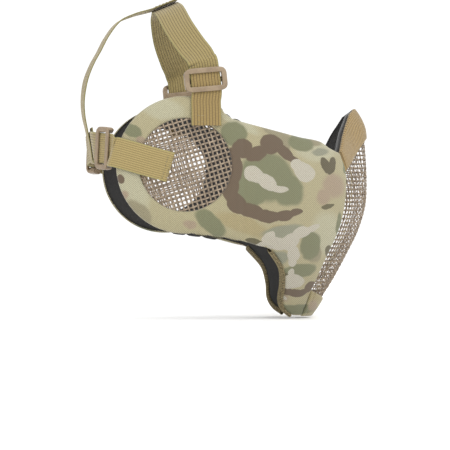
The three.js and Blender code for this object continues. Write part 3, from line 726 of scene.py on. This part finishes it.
# %% Heights of the layers
CLOTH = 1.0  # millimetres of thickness
nearest = np.minimum(np.minimum(to_edge, to_seam), to_opening)
stitched = 0.35 * np.exp(-((to_edge - 6.2) / 0.55) ** 2) + 0.3 * np.exp(-((to_seam - 3.6) / 0.5) ** 2)
cover_out = (swell(nearest, 1.1, 5) - 0.3 + roll(to_edge, 2.3) + roll(to_seam, 1.3) + roll(to_opening, 1.2)
             + wrinkle(py, pz) * np.clip(nearest / 3, 0, 1) - stitched)
jaw_line = line(JAW, even)
to_jaw = distance(py, pz, jaw_line)
turned_in = 3.1 * np.exp(-to_edge / 0.3) * (1 - np.exp(-(to_jaw / 6) ** 2))
lining_out = -2.75 - 0.95 * np.exp(-to_edge / 1.2)
lining_in = -5.7 - swell(nearest, 0.5, 5) - roll(to_edge, 1.7) - roll(to_opening, 1.6) - roll(to_seam, 1.6)
e = 0.2
away_y = (distance(py + e, pz, FREE_EDGE) - distance(py - e, pz, FREE_EDGE)) / (2 * e)
away_z = (distance(py, pz + e, FREE_EDGE) - distance(py, pz - e, FREE_EDGE)) / (2 * e)
inset = 1.25 * np.exp(-to_edge / 4)  # the lining is cut a little smaller than the cover
lying_y, lying_z = py + away_y * inset, pz + away_z * inset
print("cover from", cover_out.min().round(1), "to", cover_out.max().round(1), "mm over the face")

# %% [markdown] The two skins of a layer are joined by a rim into one closed shell.

# %% Covers and linings of both sides
def shell(name, side, y, z, outer, inner, finish):
    """A closed shell over one side's plane of points, between two distances from the face."""
    points, faces = two_skins(on_side(y, z, side, outer), on_side(y, z, side, inner), plane_faces)
    return make(name, points, faces, finish, flip=side > 0)


SIDES = (("right", -1, camo_right), ("left", 1, camo_left))
for hand, side, camo in SIDES:
    cover = shell(f"cover_{hand}", side, py, pz, cover_out, cover_out - CLOTH - turned_in, camo)
    pad = shell(f"lining_{hand}", side, lying_y, lying_z, lining_out, lining_in, lining)
    for piece, replaced, finish in ((cover, "cover", "camo_fabric"), (pad, "pad", "lining")):
        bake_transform(piece)
        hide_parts(f"cheek_{replaced}_{hand}", f"ear_{replaced}_{hand}")
    print(cover.name, len(cover.data.polygons), "faces")

# %% [markdown]
# ## Woven wire
# Plain woven wire is two sets of wires, each passing over and under the other. A picture of a mesh
# would stay flat at the edges, so every wire here is a real tube. Its height over the surface is a
# cosine that changes sign at each crossing, and the other set takes the opposite sign.

# %% Ear discs
PITCH, WIRE, DOME, DOME_EDGE, SLOPE = 3.57, 0.66, 7.5, 30, np.radians(17)
DISC_RIM, WOVEN_DEPTH = 38.4, -1.95  # the disc is held under the cloth, between cover and pad


def dome(y, z):
    """A shallow dome: its height falls off as a power of the distance from the ear's middle."""
    r2 = (y ** 2 + (z - EAR_MIDDLE) ** 2) / DOME_EDGE ** 2
    return DOME * np.maximum(1 - r2, 0) ** 1.5


def disc_wires(side):
    """Two sets of parallel wires, turned a little, each ended where it meets the tucked rim."""
    number = np.arange(-10, 11)
    place = number * PITCH
    half = np.sqrt(np.maximum(DISC_RIM ** 2 - place ** 2, 9))
    along = half[:, None] * np.linspace(-1, 1, 132)[None]
    off = np.broadcast_to(place[:, None], along.shape)
    sets = []
    for k in (0, 1):
        a, b = (along, off) if k == 0 else (off, along)
        y = a * np.cos(SLOPE) + b * np.sin(SLOPE)
        z = EAR_MIDDLE - a * np.sin(SLOPE) + b * np.cos(SLOPE)
        sign = np.where((number % 2 == 0) == (k == 0), 1, -1)[:, None]
        weave = 0.42 * sign * np.cos(np.pi * along / PITCH)
        path = on_side(y, z, side, WOVEN_DEPTH + dome(y, z) + weave)
        outward = np.array([side, 0, 0.0])
        points, faces = tube(path, WIRE, outward, 6, 0.62)
        sets.append((points, faces + sum(len(p) for p, _ in sets)))
    return np.concatenate([p for p, _ in sets]), np.concatenate([f for _, f in sets])


for hand, side, _ in SIDES:
    disc = make(f"wire_disc_{hand}", *disc_wires(side), wire)
    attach(disc, f"ear_{hand}")
    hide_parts(f"ear_mesh_{hand}")
print("ear disc:", len(disc.data.polygons), "faces")

# %% [markdown]
# The muzzle is the same wire, bent over nose and mouth. Its sides follow the seams of the cheeks, so
# the angle at which a level wire ends is found first, for every height. An upright wire keeps its
# angle and runs between the two heights where that limit passes it.

# %% Where the muzzle's wires end
UPRIGHT_PITCH, LEVEL_PITCH, LOWEST = 3.2, 3.4, -101


def angle_at(y, z):
    """The angle whose point on the face has this depth: the interval that holds it is halved."""
    low, high = np.zeros_like(y), np.full_like(y, np.pi / 2)
    for _ in range(HALVINGS):
        middle = (low + high) / 2
        before = face(middle, z)[..., 1] < y
        low, high = np.where(before, middle, low), np.where(before, high, middle)
    return (low + high) / 2


heights = np.linspace(-104.5, 24, 500)
seam_y = np.interp(heights, SEAM_LINE[::-1, 1], SEAM_LINE[::-1, 0])
lower_y = np.interp(heights, [p[1] for p in NOSE_LOWER], [p[0] for p in NOSE_LOWER])
bottom_y = np.interp(heights, (-103.5, -102, -96), (-132, -119, -105.6))
limit_y = np.where(heights > -2.4, lower_y + 4, np.where(heights < -96, bottom_y, seam_y) + 3.2)
limit = angle_at(limit_y, heights)


def along_arc(angle):
    """How many upright wires fit between the middle and an angle: the distance walked round the face
    at one height, over the wires' spacing."""
    dense = np.linspace(0, 1.5, 400)
    walk = face(dense, np.full(400, -40.0))
    walked = np.concatenate([[0], np.cumsum(np.linalg.norm(np.diff(walk, axis=0), axis=1))])
    walked /= UPRIGHT_PITCH
    return dense, walked, np.sign(angle) * np.interp(np.abs(angle), dense, walked)


print("the muzzle's wires reach", np.degrees(limit.max()).round(), "degrees to each side")

# %% [markdown]
# Level wires are a fixed height apart. Upright ones are the same distance apart along the face, not
# the same angle, or they would crowd at the ridge. Near a seam every wire dips, to run under the cloth.

# %% Muzzle
def muzzle_wires():
    """Level wires between the two seams, and upright wires between the two ends of their angle. Near
    those ends the wires dip, to run under the cloth."""
    levels = np.arange(LOWEST, 22, LEVEL_PITCH)
    end = np.interp(levels, heights, limit)
    level_angle = end[:, None] * np.linspace(-1, 1, 168)
    level_z = np.broadcast_to(levels[:, None], level_angle.shape)
    sign = np.where(np.arange(len(levels)) % 2 == 0, 1, -1)[:, None]
    dense, walked, number = along_arc(level_angle)
    level_weave = 0.34 * sign * np.cos(np.pi * number)
    count = int(np.interp(limit.max(), dense, walked))
    upright = np.arange(-count, count + 1)
    angles = np.sign(upright) * np.interp(np.abs(upright), walked, dense)
    held = limit[None] >= np.abs(angles)[:, None]
    low = np.where(held, heights[None], 1e9).min(1)
    high = np.where(held, heights[None], -1e9).max(1)
    up_z = low[:, None] + (high - low)[:, None] * np.linspace(0, 1, 168)
    up_angle = np.broadcast_to(angles[:, None], up_z.shape)
    sign = np.where(upright % 2 == 0, -1, 1)[:, None]
    up_weave = 0.34 * sign * np.cos(np.pi * (up_z - LOWEST) / LEVEL_PITCH)
    sets, start = [], 0
    for angle, z, weave in ((level_angle, level_z, level_weave), (up_angle, up_z, up_weave)):
        inside = (np.interp(z, heights, limit) - np.abs(angle)) * 85  # roughly in millimetres
        out = WOVEN_DEPTH + weave - 1.1 * (1 - np.clip((inside - 3.4) / 2.6, 0, 1))
        path = on_front(angle, z, out)
        normal = on_front(angle, z, out + 1) - path
        points, faces = tube(path, 0.52, normal, 5, 0.7)
        sets.append((points, faces + start))
        start += len(points)
    return np.concatenate([p for p, _ in sets]), np.concatenate([f for _, f in sets])


muzzle = make("muzzle_wire", *muzzle_wires(), wire)
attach(muzzle, "mask")
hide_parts("front_mesh")
print("muzzle:", len(muzzle.data.polygons), "faces")

# %% [markdown]
# ## Nose tape and chin piece
# Both close the front from one seam to the other, each between two curves. For every angle the two
# curves give two heights, and the piece is a grid between them with rolled edges.

# %% Bands across the front
def band(name, top, bottom, tips, outer, thick, finish, edge_roll, across=26, along=120):
    """A closed band round the front. top and bottom are curves of depth over height; each end of the
    band is at the angle where its curve starts. Heights are found by halving the interval."""
    p = np.linspace(-1, 1, along)[:, None]
    q = stations(24, 24 / across)[None]
    edges = []
    for curve, (tip_y, tip_z) in zip((bottom, top), tips):
        curve = np.array(sorted(curve, key=lambda c: c[1]), float)
        tip = angle_at(np.array([tip_y], float), np.array([tip_z], float))[0]
        angle = np.abs(p[:, 0]) * tip
        low, high = np.full(along, curve[0, 1]), np.full(along, curve[-1, 1])
        for _ in range(HALVINGS):
            middle = (low + high) / 2
            inside = face(angle, middle)[:, 1] < np.interp(middle, curve[:, 1], curve[:, 0])
            rising = curve[-1, 0] < curve[0, 0]
            go = inside if rising else ~inside
            low, high = np.where(go, middle, low), np.where(go, high, middle)
        edges.append((p[:, 0] * tip, (low + high) / 2))
    (angle_low, z_low), (angle_high, z_high) = edges
    angle = (1 - q) * angle_low[:, None] + q * angle_high[:, None]
    z = (1 - q) * z_low[:, None] + q * z_high[:, None]
    to_side = np.minimum(q, 1 - q) * np.abs(z_high - z_low)[:, None]
    to_end = (1 - np.abs(p)) * 60
    near = np.minimum(to_side, to_end + 0.01)
    out = outer + swell(near, 0.6, 4) + roll(near, edge_roll)
    points, faces = two_skins(on_front(angle, z, out).reshape(-1, 3),
                              on_front(angle, z, out - thick).reshape(-1, 3), quads(along, q.shape[1]))
    walked = np.broadcast_to(p * 62, angle.shape)
    uv = np.stack([np.broadcast_to(q, angle.shape), walked], -1).reshape(-1, 2)
    piece = make(name, points, faces, finish, np.concatenate([uv, uv]))
    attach(piece, "mask")
    return piece


print("stations across a band:", len(stations(24, 24 / 26)))

# %% [markdown]
# The nose tape is folded over the muzzle's upper edge and the chin piece closes it below. Each has a
# lining behind it. The chin's lining runs on under the cheeks' linings, so that no light gets through
# the seam.

# %% Nose tape and chin piece
NOSE_TIPS = ((-130.6, -2.4), (-126, 12.1))
nose = band("nose_tape", NOSE_ARCH, NOSE_LOWER, NOSE_TIPS, 0.5, 1.3, nose_tape, 1.1)
nose_inside = band("nose_lining", NOSE_ARCH, NOSE_LOWER, NOSE_TIPS, -3.2, 2.2, lining, 1.0)
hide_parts("nose_binding")
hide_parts("nose_pad")

CHIN_TOP = [(-105.6, -96), (-119, -102), (-132, -103.5)]
CHIN_LOW = [(-99.5, -116.4), (-112, -116.8), (-132, -117)]
CHIN_TIPS = ((-99.5, -116.4), (-105.6, -96))
chin = band("chin_cloth", CHIN_TOP, CHIN_LOW, CHIN_TIPS, 0.2, 1.2, camo_right, 1.4, across=16, along=90)
LINING_TIPS = ((-97.6, -116.4), (-103.7, -96))
chin_inside = band("chin_lining", CHIN_TOP, CHIN_LOW, LINING_TIPS, -3.0, 3.0, lining, 1.4, across=16,
                   along=90)
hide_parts("chin_cover")
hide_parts("chin_pad")
for piece, slot in ((nose, "binding"), (nose_inside, "lining"), (chin, "camo_fabric"),
                    (chin_inside, "lining")):
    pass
print("bands:", [len(piece.data.polygons) for piece in (nose, nose_inside, chin, chin_inside)])

# %% [markdown]
# ## The overlocked jaw edge
# The jaw edge is bound with thread. The binding is an oval profile carried along the edge; over it lie
# the thread's loops, one every millimetre and a bit, each a short tube round the same oval.

# %% Jaw binding
JAW_LOOPS = 46


def jaw_frame(shares, side):
    """Middle, way off the cloth and way out of the face at each share of the jaw's length."""
    flat_line = line(JAW, shares)
    ahead, behind = line(JAW, np.minimum(shares + 0.01, 1)), line(JAW, np.maximum(shares - 0.01, 0))
    run = (ahead - behind) / np.linalg.norm(ahead - behind, axis=-1, keepdims=True)
    y, z = flat_line[:, 0] - 0.5 * run[:, 1], flat_line[:, 1] + 0.5 * run[:, 0]
    middle = on_side(y, z, side, -2.9)
    out = on_side(y, z, side, -1.9) - middle
    off = on_side(y - run[:, 1], z + run[:, 0], side, -2.9) - middle
    off -= np.sum(off * out, -1, keepdims=True) * out
    return middle, off / np.linalg.norm(off, axis=-1, keepdims=True), out


for hand, side, _ in SIDES:
    middle, off, out = jaw_frame(np.linspace(0, 1, 80), side)
    turn = np.linspace(0, 2 * np.pi, 20, endpoint=False)[:, None]
    ring = middle[:, None] + np.cos(turn) * 1.5 * off[:, None] + np.sin(turn) * 3.3 * out[:, None]
    faces = quads(80, 20, wrap_cols=True)
    spot, off, out = jaw_frame(np.linspace(0.01, 0.99, JAW_LOOPS), side)
    swing = np.linspace(-2.5, 2.5, 14)[None, :, None]
    run = np.cross(off, out)
    path = (spot[:, None] + np.cos(swing) * 1.62 * off[:, None] + np.sin(swing) * 3.5 * out[:, None]
            + swing * 0.16 * run[:, None])
    points, loop_faces = tube(path, 0.34, run[:, None], 5)
    binding = make(f"jaw_tape_{hand}", ring.reshape(-1, 3), faces, thread, flip=side > 0)
    loops = make(f"jaw_stitches_{hand}", points, loop_faces, seam_thread)
    for piece in (binding, loops):
        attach(piece, "mask")
    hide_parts(f"jaw_binding_{hand}")
print("jaw loops:", JAW_LOOPS, "a side")

# %% [markdown]
# ## Webbing
# A strap is one section carried along a line: a flat oval with lengthwise cords. The line runs through
# a few stations, each with the direction across the strap. The map on it counts millimetres along, so
# that the weave keeps its size however long the strap is.

# %% Straps as a section along a line
WEB_WIDTH, WEB, GAP, CORD = 22.5, 1.2, 0.3, 0.09  # CORD is how far a cord stands up
PLY = (WEB + GAP) / 2


def strap(name, places, widths, finish, cords=11, steps=110):
    """A closed strap through stations: its line and the direction across it are smooth curves over
    the distance walked; the section's height is a flat oval with a small cosine for the cords."""
    shares = np.linspace(0, 1, steps)
    places = np.asarray(places, float)
    path = line(places, shares)
    walked = np.concatenate([[0], np.cumsum(np.linalg.norm(np.diff(places, axis=0), axis=1))])
    widths = np.asarray(widths, float)
    across = np.stack([through(walked, widths[:, k], shares * walked[-1]) for k in range(3)], -1)
    run = np.gradient(path, axis=0)
    run /= np.linalg.norm(run, axis=-1, keepdims=True)
    across -= np.sum(across * run, -1, keepdims=True) * run
    across /= np.linalg.norm(across, axis=-1, keepdims=True)
    up = np.cross(across, run)
    a = np.linspace(-1, 1, 4 * cords + 1)
    high = (WEB / 2 - CORD) * (1 - np.abs(a) ** 14) ** 0.5
    high = high + CORD * np.abs(np.sin(np.pi * cords * (a + 1) / 2))
    a, high = np.concatenate([a, a[-2:0:-1]]), np.concatenate([high, -high[-2:0:-1]])
    points = path[:, None] + a[:, None] * (WEB_WIDTH / 2) * across[:, None] + high[:, None] * up[:, None]
    ring = len(a)
    k = np.arange(ring // 2)
    cap = np.stack([k, k + 1, (ring - k - 1) % ring, (ring - k) % ring], -1)
    sleeve = quads(steps, ring, wrap_cols=True)[:, ::-1]
    faces = np.concatenate([sleeve, cap, cap[:, ::-1] + (steps - 1) * ring])
    uv = np.stack(np.broadcast_arrays((a + 1) / 2, shares[:, None] * walked[-1]), -1).reshape(-1, 2)
    piece = make(name, points.reshape(-1, 3), faces, finish, uv)
    return piece


print("two plies through a buckle lie", PLY, "mm from its middle")

# %% [markdown]
# A buckle and the webbing in it share one place and three directions: along the webbing, across it and
# out of the head. A small class keeps the four together, so that a point is asked for as so much along
# and so much out.

# %% Seats of the buckles
class Seat:
    """A buckle's middle and the straight run of webbing through it."""

    def __init__(self, middle, run, width, side):
        """The direction across is the given width with its part along the run taken away; out is
        their cross product, turned to point away from the head."""
        self.middle = np.array(middle, float) * (side, 1, 1)
        self.along = np.array(run, float) * (side, 1, 1)
        self.along /= np.linalg.norm(self.along)
        width = np.array(width, float)
        self.across = width - np.dot(width, self.along) * self.along
        self.across /= np.linalg.norm(self.across)
        self.outward = np.cross(self.across, self.along)
        self.outward *= np.sign(np.dot(self.outward[:2], self.middle[:2]))

    def at(self, along, out):
        return self.middle + along * self.along + out * self.outward

    def placed(self, across, along, out):
        """Points from three arrays of millimetres: across, along and out of the seat."""
        return (self.middle + across[..., None] * self.across + along[..., None] * self.along
                + out[..., None] * self.outward).reshape(-1, 3)


seats = {hand: (Seat((74.7, -15.2, 63.6), (-0.045, 0.10, 1), (0, 1, 0), side),
                Seat((57.6, 58.7, 13), (-0.885, 0.46, 0.09), (0, 0, 1), side)) for hand, side, _ in SIDES}
print("top seat's lean:", np.degrees(np.arccos(seats["left"][0].along[2])).round(1), "degrees")

# %% [markdown]
# Two tabs are sewn to each ear cover. The top one starts on the cover and stands up into its buckle.
# The rear one starts on the wire disc, follows its dome with a slant of 16 degrees, folds round the
# cover's rim and ends in the buckle behind it.

# %% Tabs
TAB_Y, TAB_FOOT, TAB_SLANT = -15.2, (11.8, -2), np.radians(16)
for hand, side, _ in SIDES:
    top, rear = seats[hand]
    foot = on_side(np.full(4, TAB_Y), np.array([29.0, 36, 42, 48]), side, np.array([2.0, 2.0, 2.0, 1.8]))
    top_tab = strap(f"top_tab_web_{hand}", [*foot, top.at(-9, PLY), top.at(0, PLY), top.at(8, PLY)],
                    [(0, 1, 0)] * 4 + [top.across] * 3, tab_web, 10)
    back = np.array([0, 8, 16, 24, 31, 36.0])
    y, z = TAB_FOOT[0] + back, TAB_FOOT[1] + back * np.tan(TAB_SLANT)
    rise = np.maximum(np.maximum(-1.0 + dome(y, z), 0.2) + 1.2, np.where(back > 20, 2.0, 0))
    lift = on_side(y, z, side, rise)
    tilt = (0, -np.sin(TAB_SLANT), np.cos(TAB_SLANT))
    rim_x = float(half_width(np.array([EAR_RADIUS]), np.array([10.0]))[0])
    fold = np.array([(rim_x + 1.4, 51.2, 9.3), (rim_x + 0.6, 53.4, 9.7), (rim_x - 1.9, 54.2, 10)])
    threaded = [rear.at(-11, PLY), rear.at(-4.5, PLY), rear.at(8, PLY)]
    rear_tab = strap(f"rear_tab_web_{hand}", [*lift, *(fold * (side, 1, 1)), *threaded],
                     [tilt] * 9 + [rear.across] * 3, rear_web, 14, 150)
    for piece, node in ((top_tab, "top_tab"), (rear_tab, "rear_tab")):
        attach(piece, f"ear_{hand}")
        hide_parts(f"{node}_{hand}")
print("tabs:", [len(piece.data.polygons) for piece in (top_tab, rear_tab)])

# %% [markdown]
# The crown strap and the rear strap each run from a buckle to the middle of the head, where the two
# halves meet under the spine strap. An ear cover carries its buckle with it when it swings.

# %% Crown strap and rear strap
CROWN, CROWN_TILT = np.array([0, 7.3, 126.3]), np.array([0, 0.925, -0.38])
NAPE, NAPE_TILT = np.array([0, 64.6, 17.0]), np.array([0, 0.15, 0.99])
MEET = 0.02  # each half ends this far from the middle, in millimetres


def on_hand(points, side):
    """Points given for the left, moved to a side: the mirror changes the sign of x."""
    return np.asarray(points, float) * (side, 1, 1)


for hand, side, _ in SIDES:
    top, rear = seats[hand]
    over = on_hand([(69, -10.3, 83.5), (61.5, -6, 90.5), (45, 1.3, 105.6), (23, 5.9, 120.6),
                    (MEET, *CROWN[1:])], side)
    crown = strap(f"crown_strap_half_{hand}",
                  [top.at(-9.3, -PLY), top.at(0, -PLY), top.at(12.9, -PLY) + (0, 0.3, 0),
                   top.at(15.1, -PLY) + (0, 1.1, 0), *over],
                  [top.across] * 3 + [*on_hand([
                      (0, 0.985, -0.1), (0, 0.93, -0.35), (-0.04, 0.91, -0.42), (-0.05, 0.91, -0.4),
                      (-0.03, 0.925, -0.38), CROWN_TILT], side)],
                  strap_web, 11, 170)
    behind = on_hand([(38, 65.6, 15.2), (26, 65.6, 16), (12, 65, 16.8), (MEET, *NAPE[1:])], side)
    nape = strap(f"rear_strap_half_{hand}",
                 [rear.at(-9.3, -PLY), rear.at(0, -PLY), rear.at(12.9, -PLY), rear.at(14.6, -PLY), *behind],
                 [rear.across] * 4 + [(0, 0.08, 0.99), (0, 0.12, 0.99), NAPE_TILT, NAPE_TILT],
                 strap_web, 11, 110)
    for piece, start, end in ((crown, (0.030, 0.004, 0.116), (0.070, -0.011, 0.084)),
                              (nape, (0.018, 0.0653, 0.0165), (0.046, 0.064, 0.014))):
        on_hand(start, side)
        on_hand(end, side)
        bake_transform(piece)
    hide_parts("crown_strap", f"crown_strap_end_{hand}")
    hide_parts("rear_strap", f"rear_strap_end_{hand}")
print("straps:", [len(piece.data.polygons) for piece in (crown, nape)])

# %% [markdown]
# The spine strap is sewn onto the crown strap, runs down the back of the head and is looped round the
# rear strap, with its end sewn to itself. It has a slight twist where it hangs free.

# %% Spine strap
OVER = WEB + 1.5 * GAP
crown_up, nape_out = np.array([0, 0.38, 0.925]), np.array([0, 0.99, -0.15])
sewn = [CROWN + CROWN_TILT * along + crown_up * OVER for along in (-10.4, 0, 10.4)]
down = [(0, 32, 119.6), (0, 44, 113.8), (0, 53, 102.4), (0, 59.2, 90.6), (0, 64.6, 80.7), (0, 69.4, 68),
        (0, 71.6, 53), (0, 71, 41)]
below = WEB_WIDTH / 2 + GAP
loop = [NAPE + NAPE_TILT * rise + nape_out * out for rise, out in (
    (13, OVER + 0.5), (0, OVER), (-below, OVER), (-below - 1.3, 0.9), (-below - 1.3, -0.9), (-below, -OVER),
    (0, -OVER), (14, -OVER))]
twist = [(1, 0, 0)] * 3 + [(1, 0.05, 0)] + [(1, 0.1, 0)] * 5 + [(1, 0.06, 0), (1, 0.03, 0)] + [(1, 0, 0)] * 8
spine = strap("spine_strap_web", [*sewn, *down, *loop], twist, strap_web, 11, 260)
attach(spine, "mask")
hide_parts("spine_strap")
print("spine strap:", len(spine.data.polygons), "faces")

# %% [markdown]
# ## Three-bar buckles
# A buckle is moulded in one: a rounded frame and a bar across the middle, on the side towards the
# head, so that the webbing can't slip. The frame is a soft-cornered section carried round a rounded
# rectangle, deeper where it is a rail. The bar is the same section carried straight across.

# %% Frame and bar
HALF_ACROSS, HALF_ALONG, HALF_RAIL = 14.1, 7.0, 1.95
BUCKLE_TOP, SIDE_BOTTOM, RAIL_BOTTOM = 3.25, -3.1, 1.75  # how far out of the seat's middle


def soft_square(turn, power=4):
    """A square with soft corners: both sine and cosine raised to a small power, signs kept."""
    c, s = np.cos(turn), np.sin(turn)
    return np.sign(c) * np.abs(c) ** (2 / power), np.sign(s) * np.abs(s) ** (2 / power)


def buckle_frame(seat, around=96, section=20):
    """The frame: round a rounded rectangle goes a soft-cornered section, deep at the sides and flat
    where it crosses the webbing."""
    c, s = soft_square(np.linspace(0, 2 * np.pi, around, endpoint=False), 7)
    w, h = soft_square(np.linspace(0, 2 * np.pi, section, endpoint=False), 5)
    outward = np.stack([np.sign(c) * np.abs(c) ** 5, np.sign(s) * np.abs(s) ** 5], -1)
    outward /= np.linalg.norm(outward, axis=-1, keepdims=True)
    is_side = (1.25 * np.abs(c) ** 8 - 0.1 > 0.5) & (np.abs(s) < 0.97)
    bottom = np.where(is_side, SIDE_BOTTOM, RAIL_BOTTOM)
    points = seat.placed(HALF_ACROSS * c[:, None] + HALF_RAIL * w * outward[:, None, 0],
                         HALF_ALONG * s[:, None] + HALF_RAIL * w * outward[:, None, 1],
                         ((BUCKLE_TOP + bottom) / 2)[:, None] + ((BUCKLE_TOP - bottom) / 2)[:, None] * h)
    return points, quads(around, section, wrap_rows=True, wrap_cols=True)


def buckle_bar(seat, section=20):
    """The bar: the same kind of section straight across, drawn in at its ends inside the sides."""
    w, h = soft_square(np.linspace(0, 2 * np.pi, section, endpoint=False), 5)
    reach = np.array([-13.4, -13.2, -12, 0, 12, 13.2, 13.4])[:, None]
    drawn = np.array([0.3, 0.9, 1, 1, 1, 0.9, 0.3])[:, None]
    points = seat.placed(reach + 0 * w, 2.0 * drawn * w, -2.45 + 0.72 * drawn * h)
    k = np.arange(1, section - 2, 2)
    cap = np.stack([0 * k, k, k + 1, k + 2], -1)
    sleeve = quads(len(reach), section, wrap_cols=True)
    return points, np.concatenate([sleeve, cap[:, ::-1], cap + (len(reach) - 1) * section])


print("frame and bar:", len(buckle_frame(seats["left"][0])[1]), len(buckle_bar(seats["left"][0])[1]), "faces")

# %% [markdown]
# All four buckles are one shape, placed by the four seats. Each rides on its own body, because it can
# be pushed along the webbing.

# %% Four buckles
def buckle(name, seat, body):
    """Frame and bar as one piece, with its faces turned out whichever way its seat is handed."""
    frame_points, frame_faces = buckle_frame(seat)
    bar_points, bar_faces = buckle_bar(seat)
    faces = np.concatenate([frame_faces, bar_faces + len(frame_points)])
    left_handed = np.dot(np.cross(seat.across, seat.along), seat.outward) < 0
    piece = make(name, np.concatenate([frame_points, bar_points]), faces, plastic, flip=left_handed)
    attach(piece, body)
    return piece


for hand, _, _ in SIDES:
    for kind, seat in zip(("top", "rear"), seats[hand]):
        piece = buckle(f"{kind}_buckle_{hand}", seat, f"{kind}_slider_{hand}")
        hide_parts(f"{kind}_slider_{hand}")
print("buckle:", len(piece.data.polygons), "faces")

# %% [markdown]
# ## Stitches
# Rows of stitches hold the tabs, the crossing of the straps and the loop at the nape. Each stitch is a
# short sunk tube with a few faces, and one row is made in one go.

# %% Rows of stitches
def stitch_rows(name, starts, ends, lift, body, length=2.1, gap=0.8):
    """Stitches along straight rows: shares of the way from start to end, each a short arched tube."""
    paths = []
    for start, end in zip(np.asarray(starts, float), np.asarray(ends, float)):
        far = np.linalg.norm(end - start)
        count = max(int(far / (length + gap)), 1)
        begin = (np.arange(count) * (length + gap) + gap / 2) / far
        share = begin[:, None] + np.linspace(0, length / far, 6)[None]
        arch = 0.22 * np.sin(np.linspace(0, np.pi, 6)) - 0.1
        paths.append(start + share[..., None] * (end - start) + arch[:, None] * lift)
    paths = np.concatenate(paths)
    points, faces = tube(paths, 0.26, np.broadcast_to(lift, paths.shape), 6)
    piece = make(name, points, faces, seam_thread)
    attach(piece, body)
    return piece


print("threads:", seam_thread.name)

# %% [markdown]
# The tabs are sewn down by two rows each. The rows lie on the outer face of the webbing, so their
# places are read from the same surfaces as the tabs themselves.

# %% Rows on the tabs
SLANTED = np.array([np.cos(TAB_SLANT), np.sin(TAB_SLANT)])
UP_THE_SLANT = np.array([-SLANTED[1], SLANTED[0]])


def on_top_tab(y, z, side):
    """A point on the outer face of the top tab."""
    return on_side(np.array([y], float), np.array([z], float), side, np.array([2.62]))[0]


def on_rear_tab(along, across, side):
    """A point on the rear tab, along and across its slant; its width from the head is that of the
    tab's middle, which follows the wire dome."""
    y, z = TAB_FOOT + along * SLANTED + across * UP_THE_SLANT
    middle_y, middle_z = TAB_FOOT + along * SLANTED
    rise = max(-1.0 + float(dome(middle_y, middle_z)), 0.2) + 1.84
    return np.array([on_side(middle_y[None], middle_z[None], side, np.array([rise]))[0, 0], y, z])


for hand, side, _ in SIDES:
    lift = np.array([side, 0, 0.1])
    rows = [[on_top_tab(y, z, side) for z in (31.5, 36.5)] for y in (-25, -5.4)]
    stitch_rows(f"top_tab_stitches_{hand}", *rows, lift, f"ear_{hand}")
    rows = [[on_rear_tab(along, across, side) for along in (1.4, 4.2)] for across in (-9.6, 9.6)]
    last = stitch_rows(f"rear_tab_stitches_{hand}", *rows, lift, f"ear_{hand}")
print("stitches across a rear tab:", len(last.data.polygons), "faces")

# %% [markdown]
# Where the spine strap is sewn to the crown strap the rows make a box with a cross in it. The loop at
# the nape is closed by one row.

# %% Box and cross on the crown, row at the nape
HALF_BOX = 9.4
box = [CROWN + np.array([x, 0, 0]) + CROWN_TILT * along + crown_up * (OVER + 0.62)
       for x, along in ((-HALF_BOX, -9), (HALF_BOX, -9), (HALF_BOX, 9), (-HALF_BOX, 9))]
crown_rows = [(box[a], box[b]) for a, b in ((0, 1), (1, 2), (2, 3), (3, 0), (0, 2), (1, 3))]
stitch_rows("crown_stitches", *zip(*crown_rows), crown_up, "mask")
nape_row = [NAPE + np.array([x, 0, 0]) + NAPE_TILT * 12.5 + nape_out * (OVER + 0.75)
            for x in (-HALF_BOX, HALF_BOX)]
stitch_rows("nape_stitches", nape_row[:1], nape_row[1:], nape_out, "mask")
print("rows on the crown:", len(crown_rows))

# %% [markdown]
# The cheek's front edge is sewn to the muzzle's rim. These stitches follow the seam's curve, so each
# one is read from the outline and moved off it towards the cloth.

# %% Stitches along the seams of the covers
def edge_stitches(name, outline, inwards, out, side, body, pitch=3.1, length=2.3):
    """Stitches along a cut edge, moved off it towards the cloth: the outline's own direction, turned
    a quarter, gives the way, and each stitch is a short arched tube that follows the line."""
    far = np.linalg.norm(np.diff(outline, axis=0), axis=1).sum()
    begin = np.arange(4, far - 6, pitch) / far
    share = begin[:, None] + np.linspace(0, length / far, 6)[None]
    walked = np.concatenate([[0], np.cumsum(np.linalg.norm(np.diff(outline, axis=0), axis=1))]) / far
    y, z = np.interp(share, walked, outline[:, 0]), np.interp(share, walked, outline[:, 1])
    dy = np.interp(share + 0.004, walked, outline[:, 0]) - np.interp(share - 0.004, walked, outline[:, 0])
    dz = np.interp(share + 0.004, walked, outline[:, 1]) - np.interp(share - 0.004, walked, outline[:, 1])
    size = np.hypot(dy, dz)
    y, z = y - inwards * dz / size, z + inwards * dy / size
    arch = 0.2 * np.sin(np.linspace(0, np.pi, 6))[None] - 0.05
    path = on_side(y, z, side, out + arch)
    normal = on_side(y, z, side, out + arch + 1) - path
    points, faces = tube(path, 0.24, normal, 6)
    piece = make(name, points, faces, seam_thread)
    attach(piece, body)
    return piece


for hand, side, _ in SIDES:
    front = edge_stitches(f"seam_stitches_{hand}", SEAM_LINE[6:], -3.6, 0.5, side, "mask")
print("seam stitches:", len(front.data.polygons), "faces")
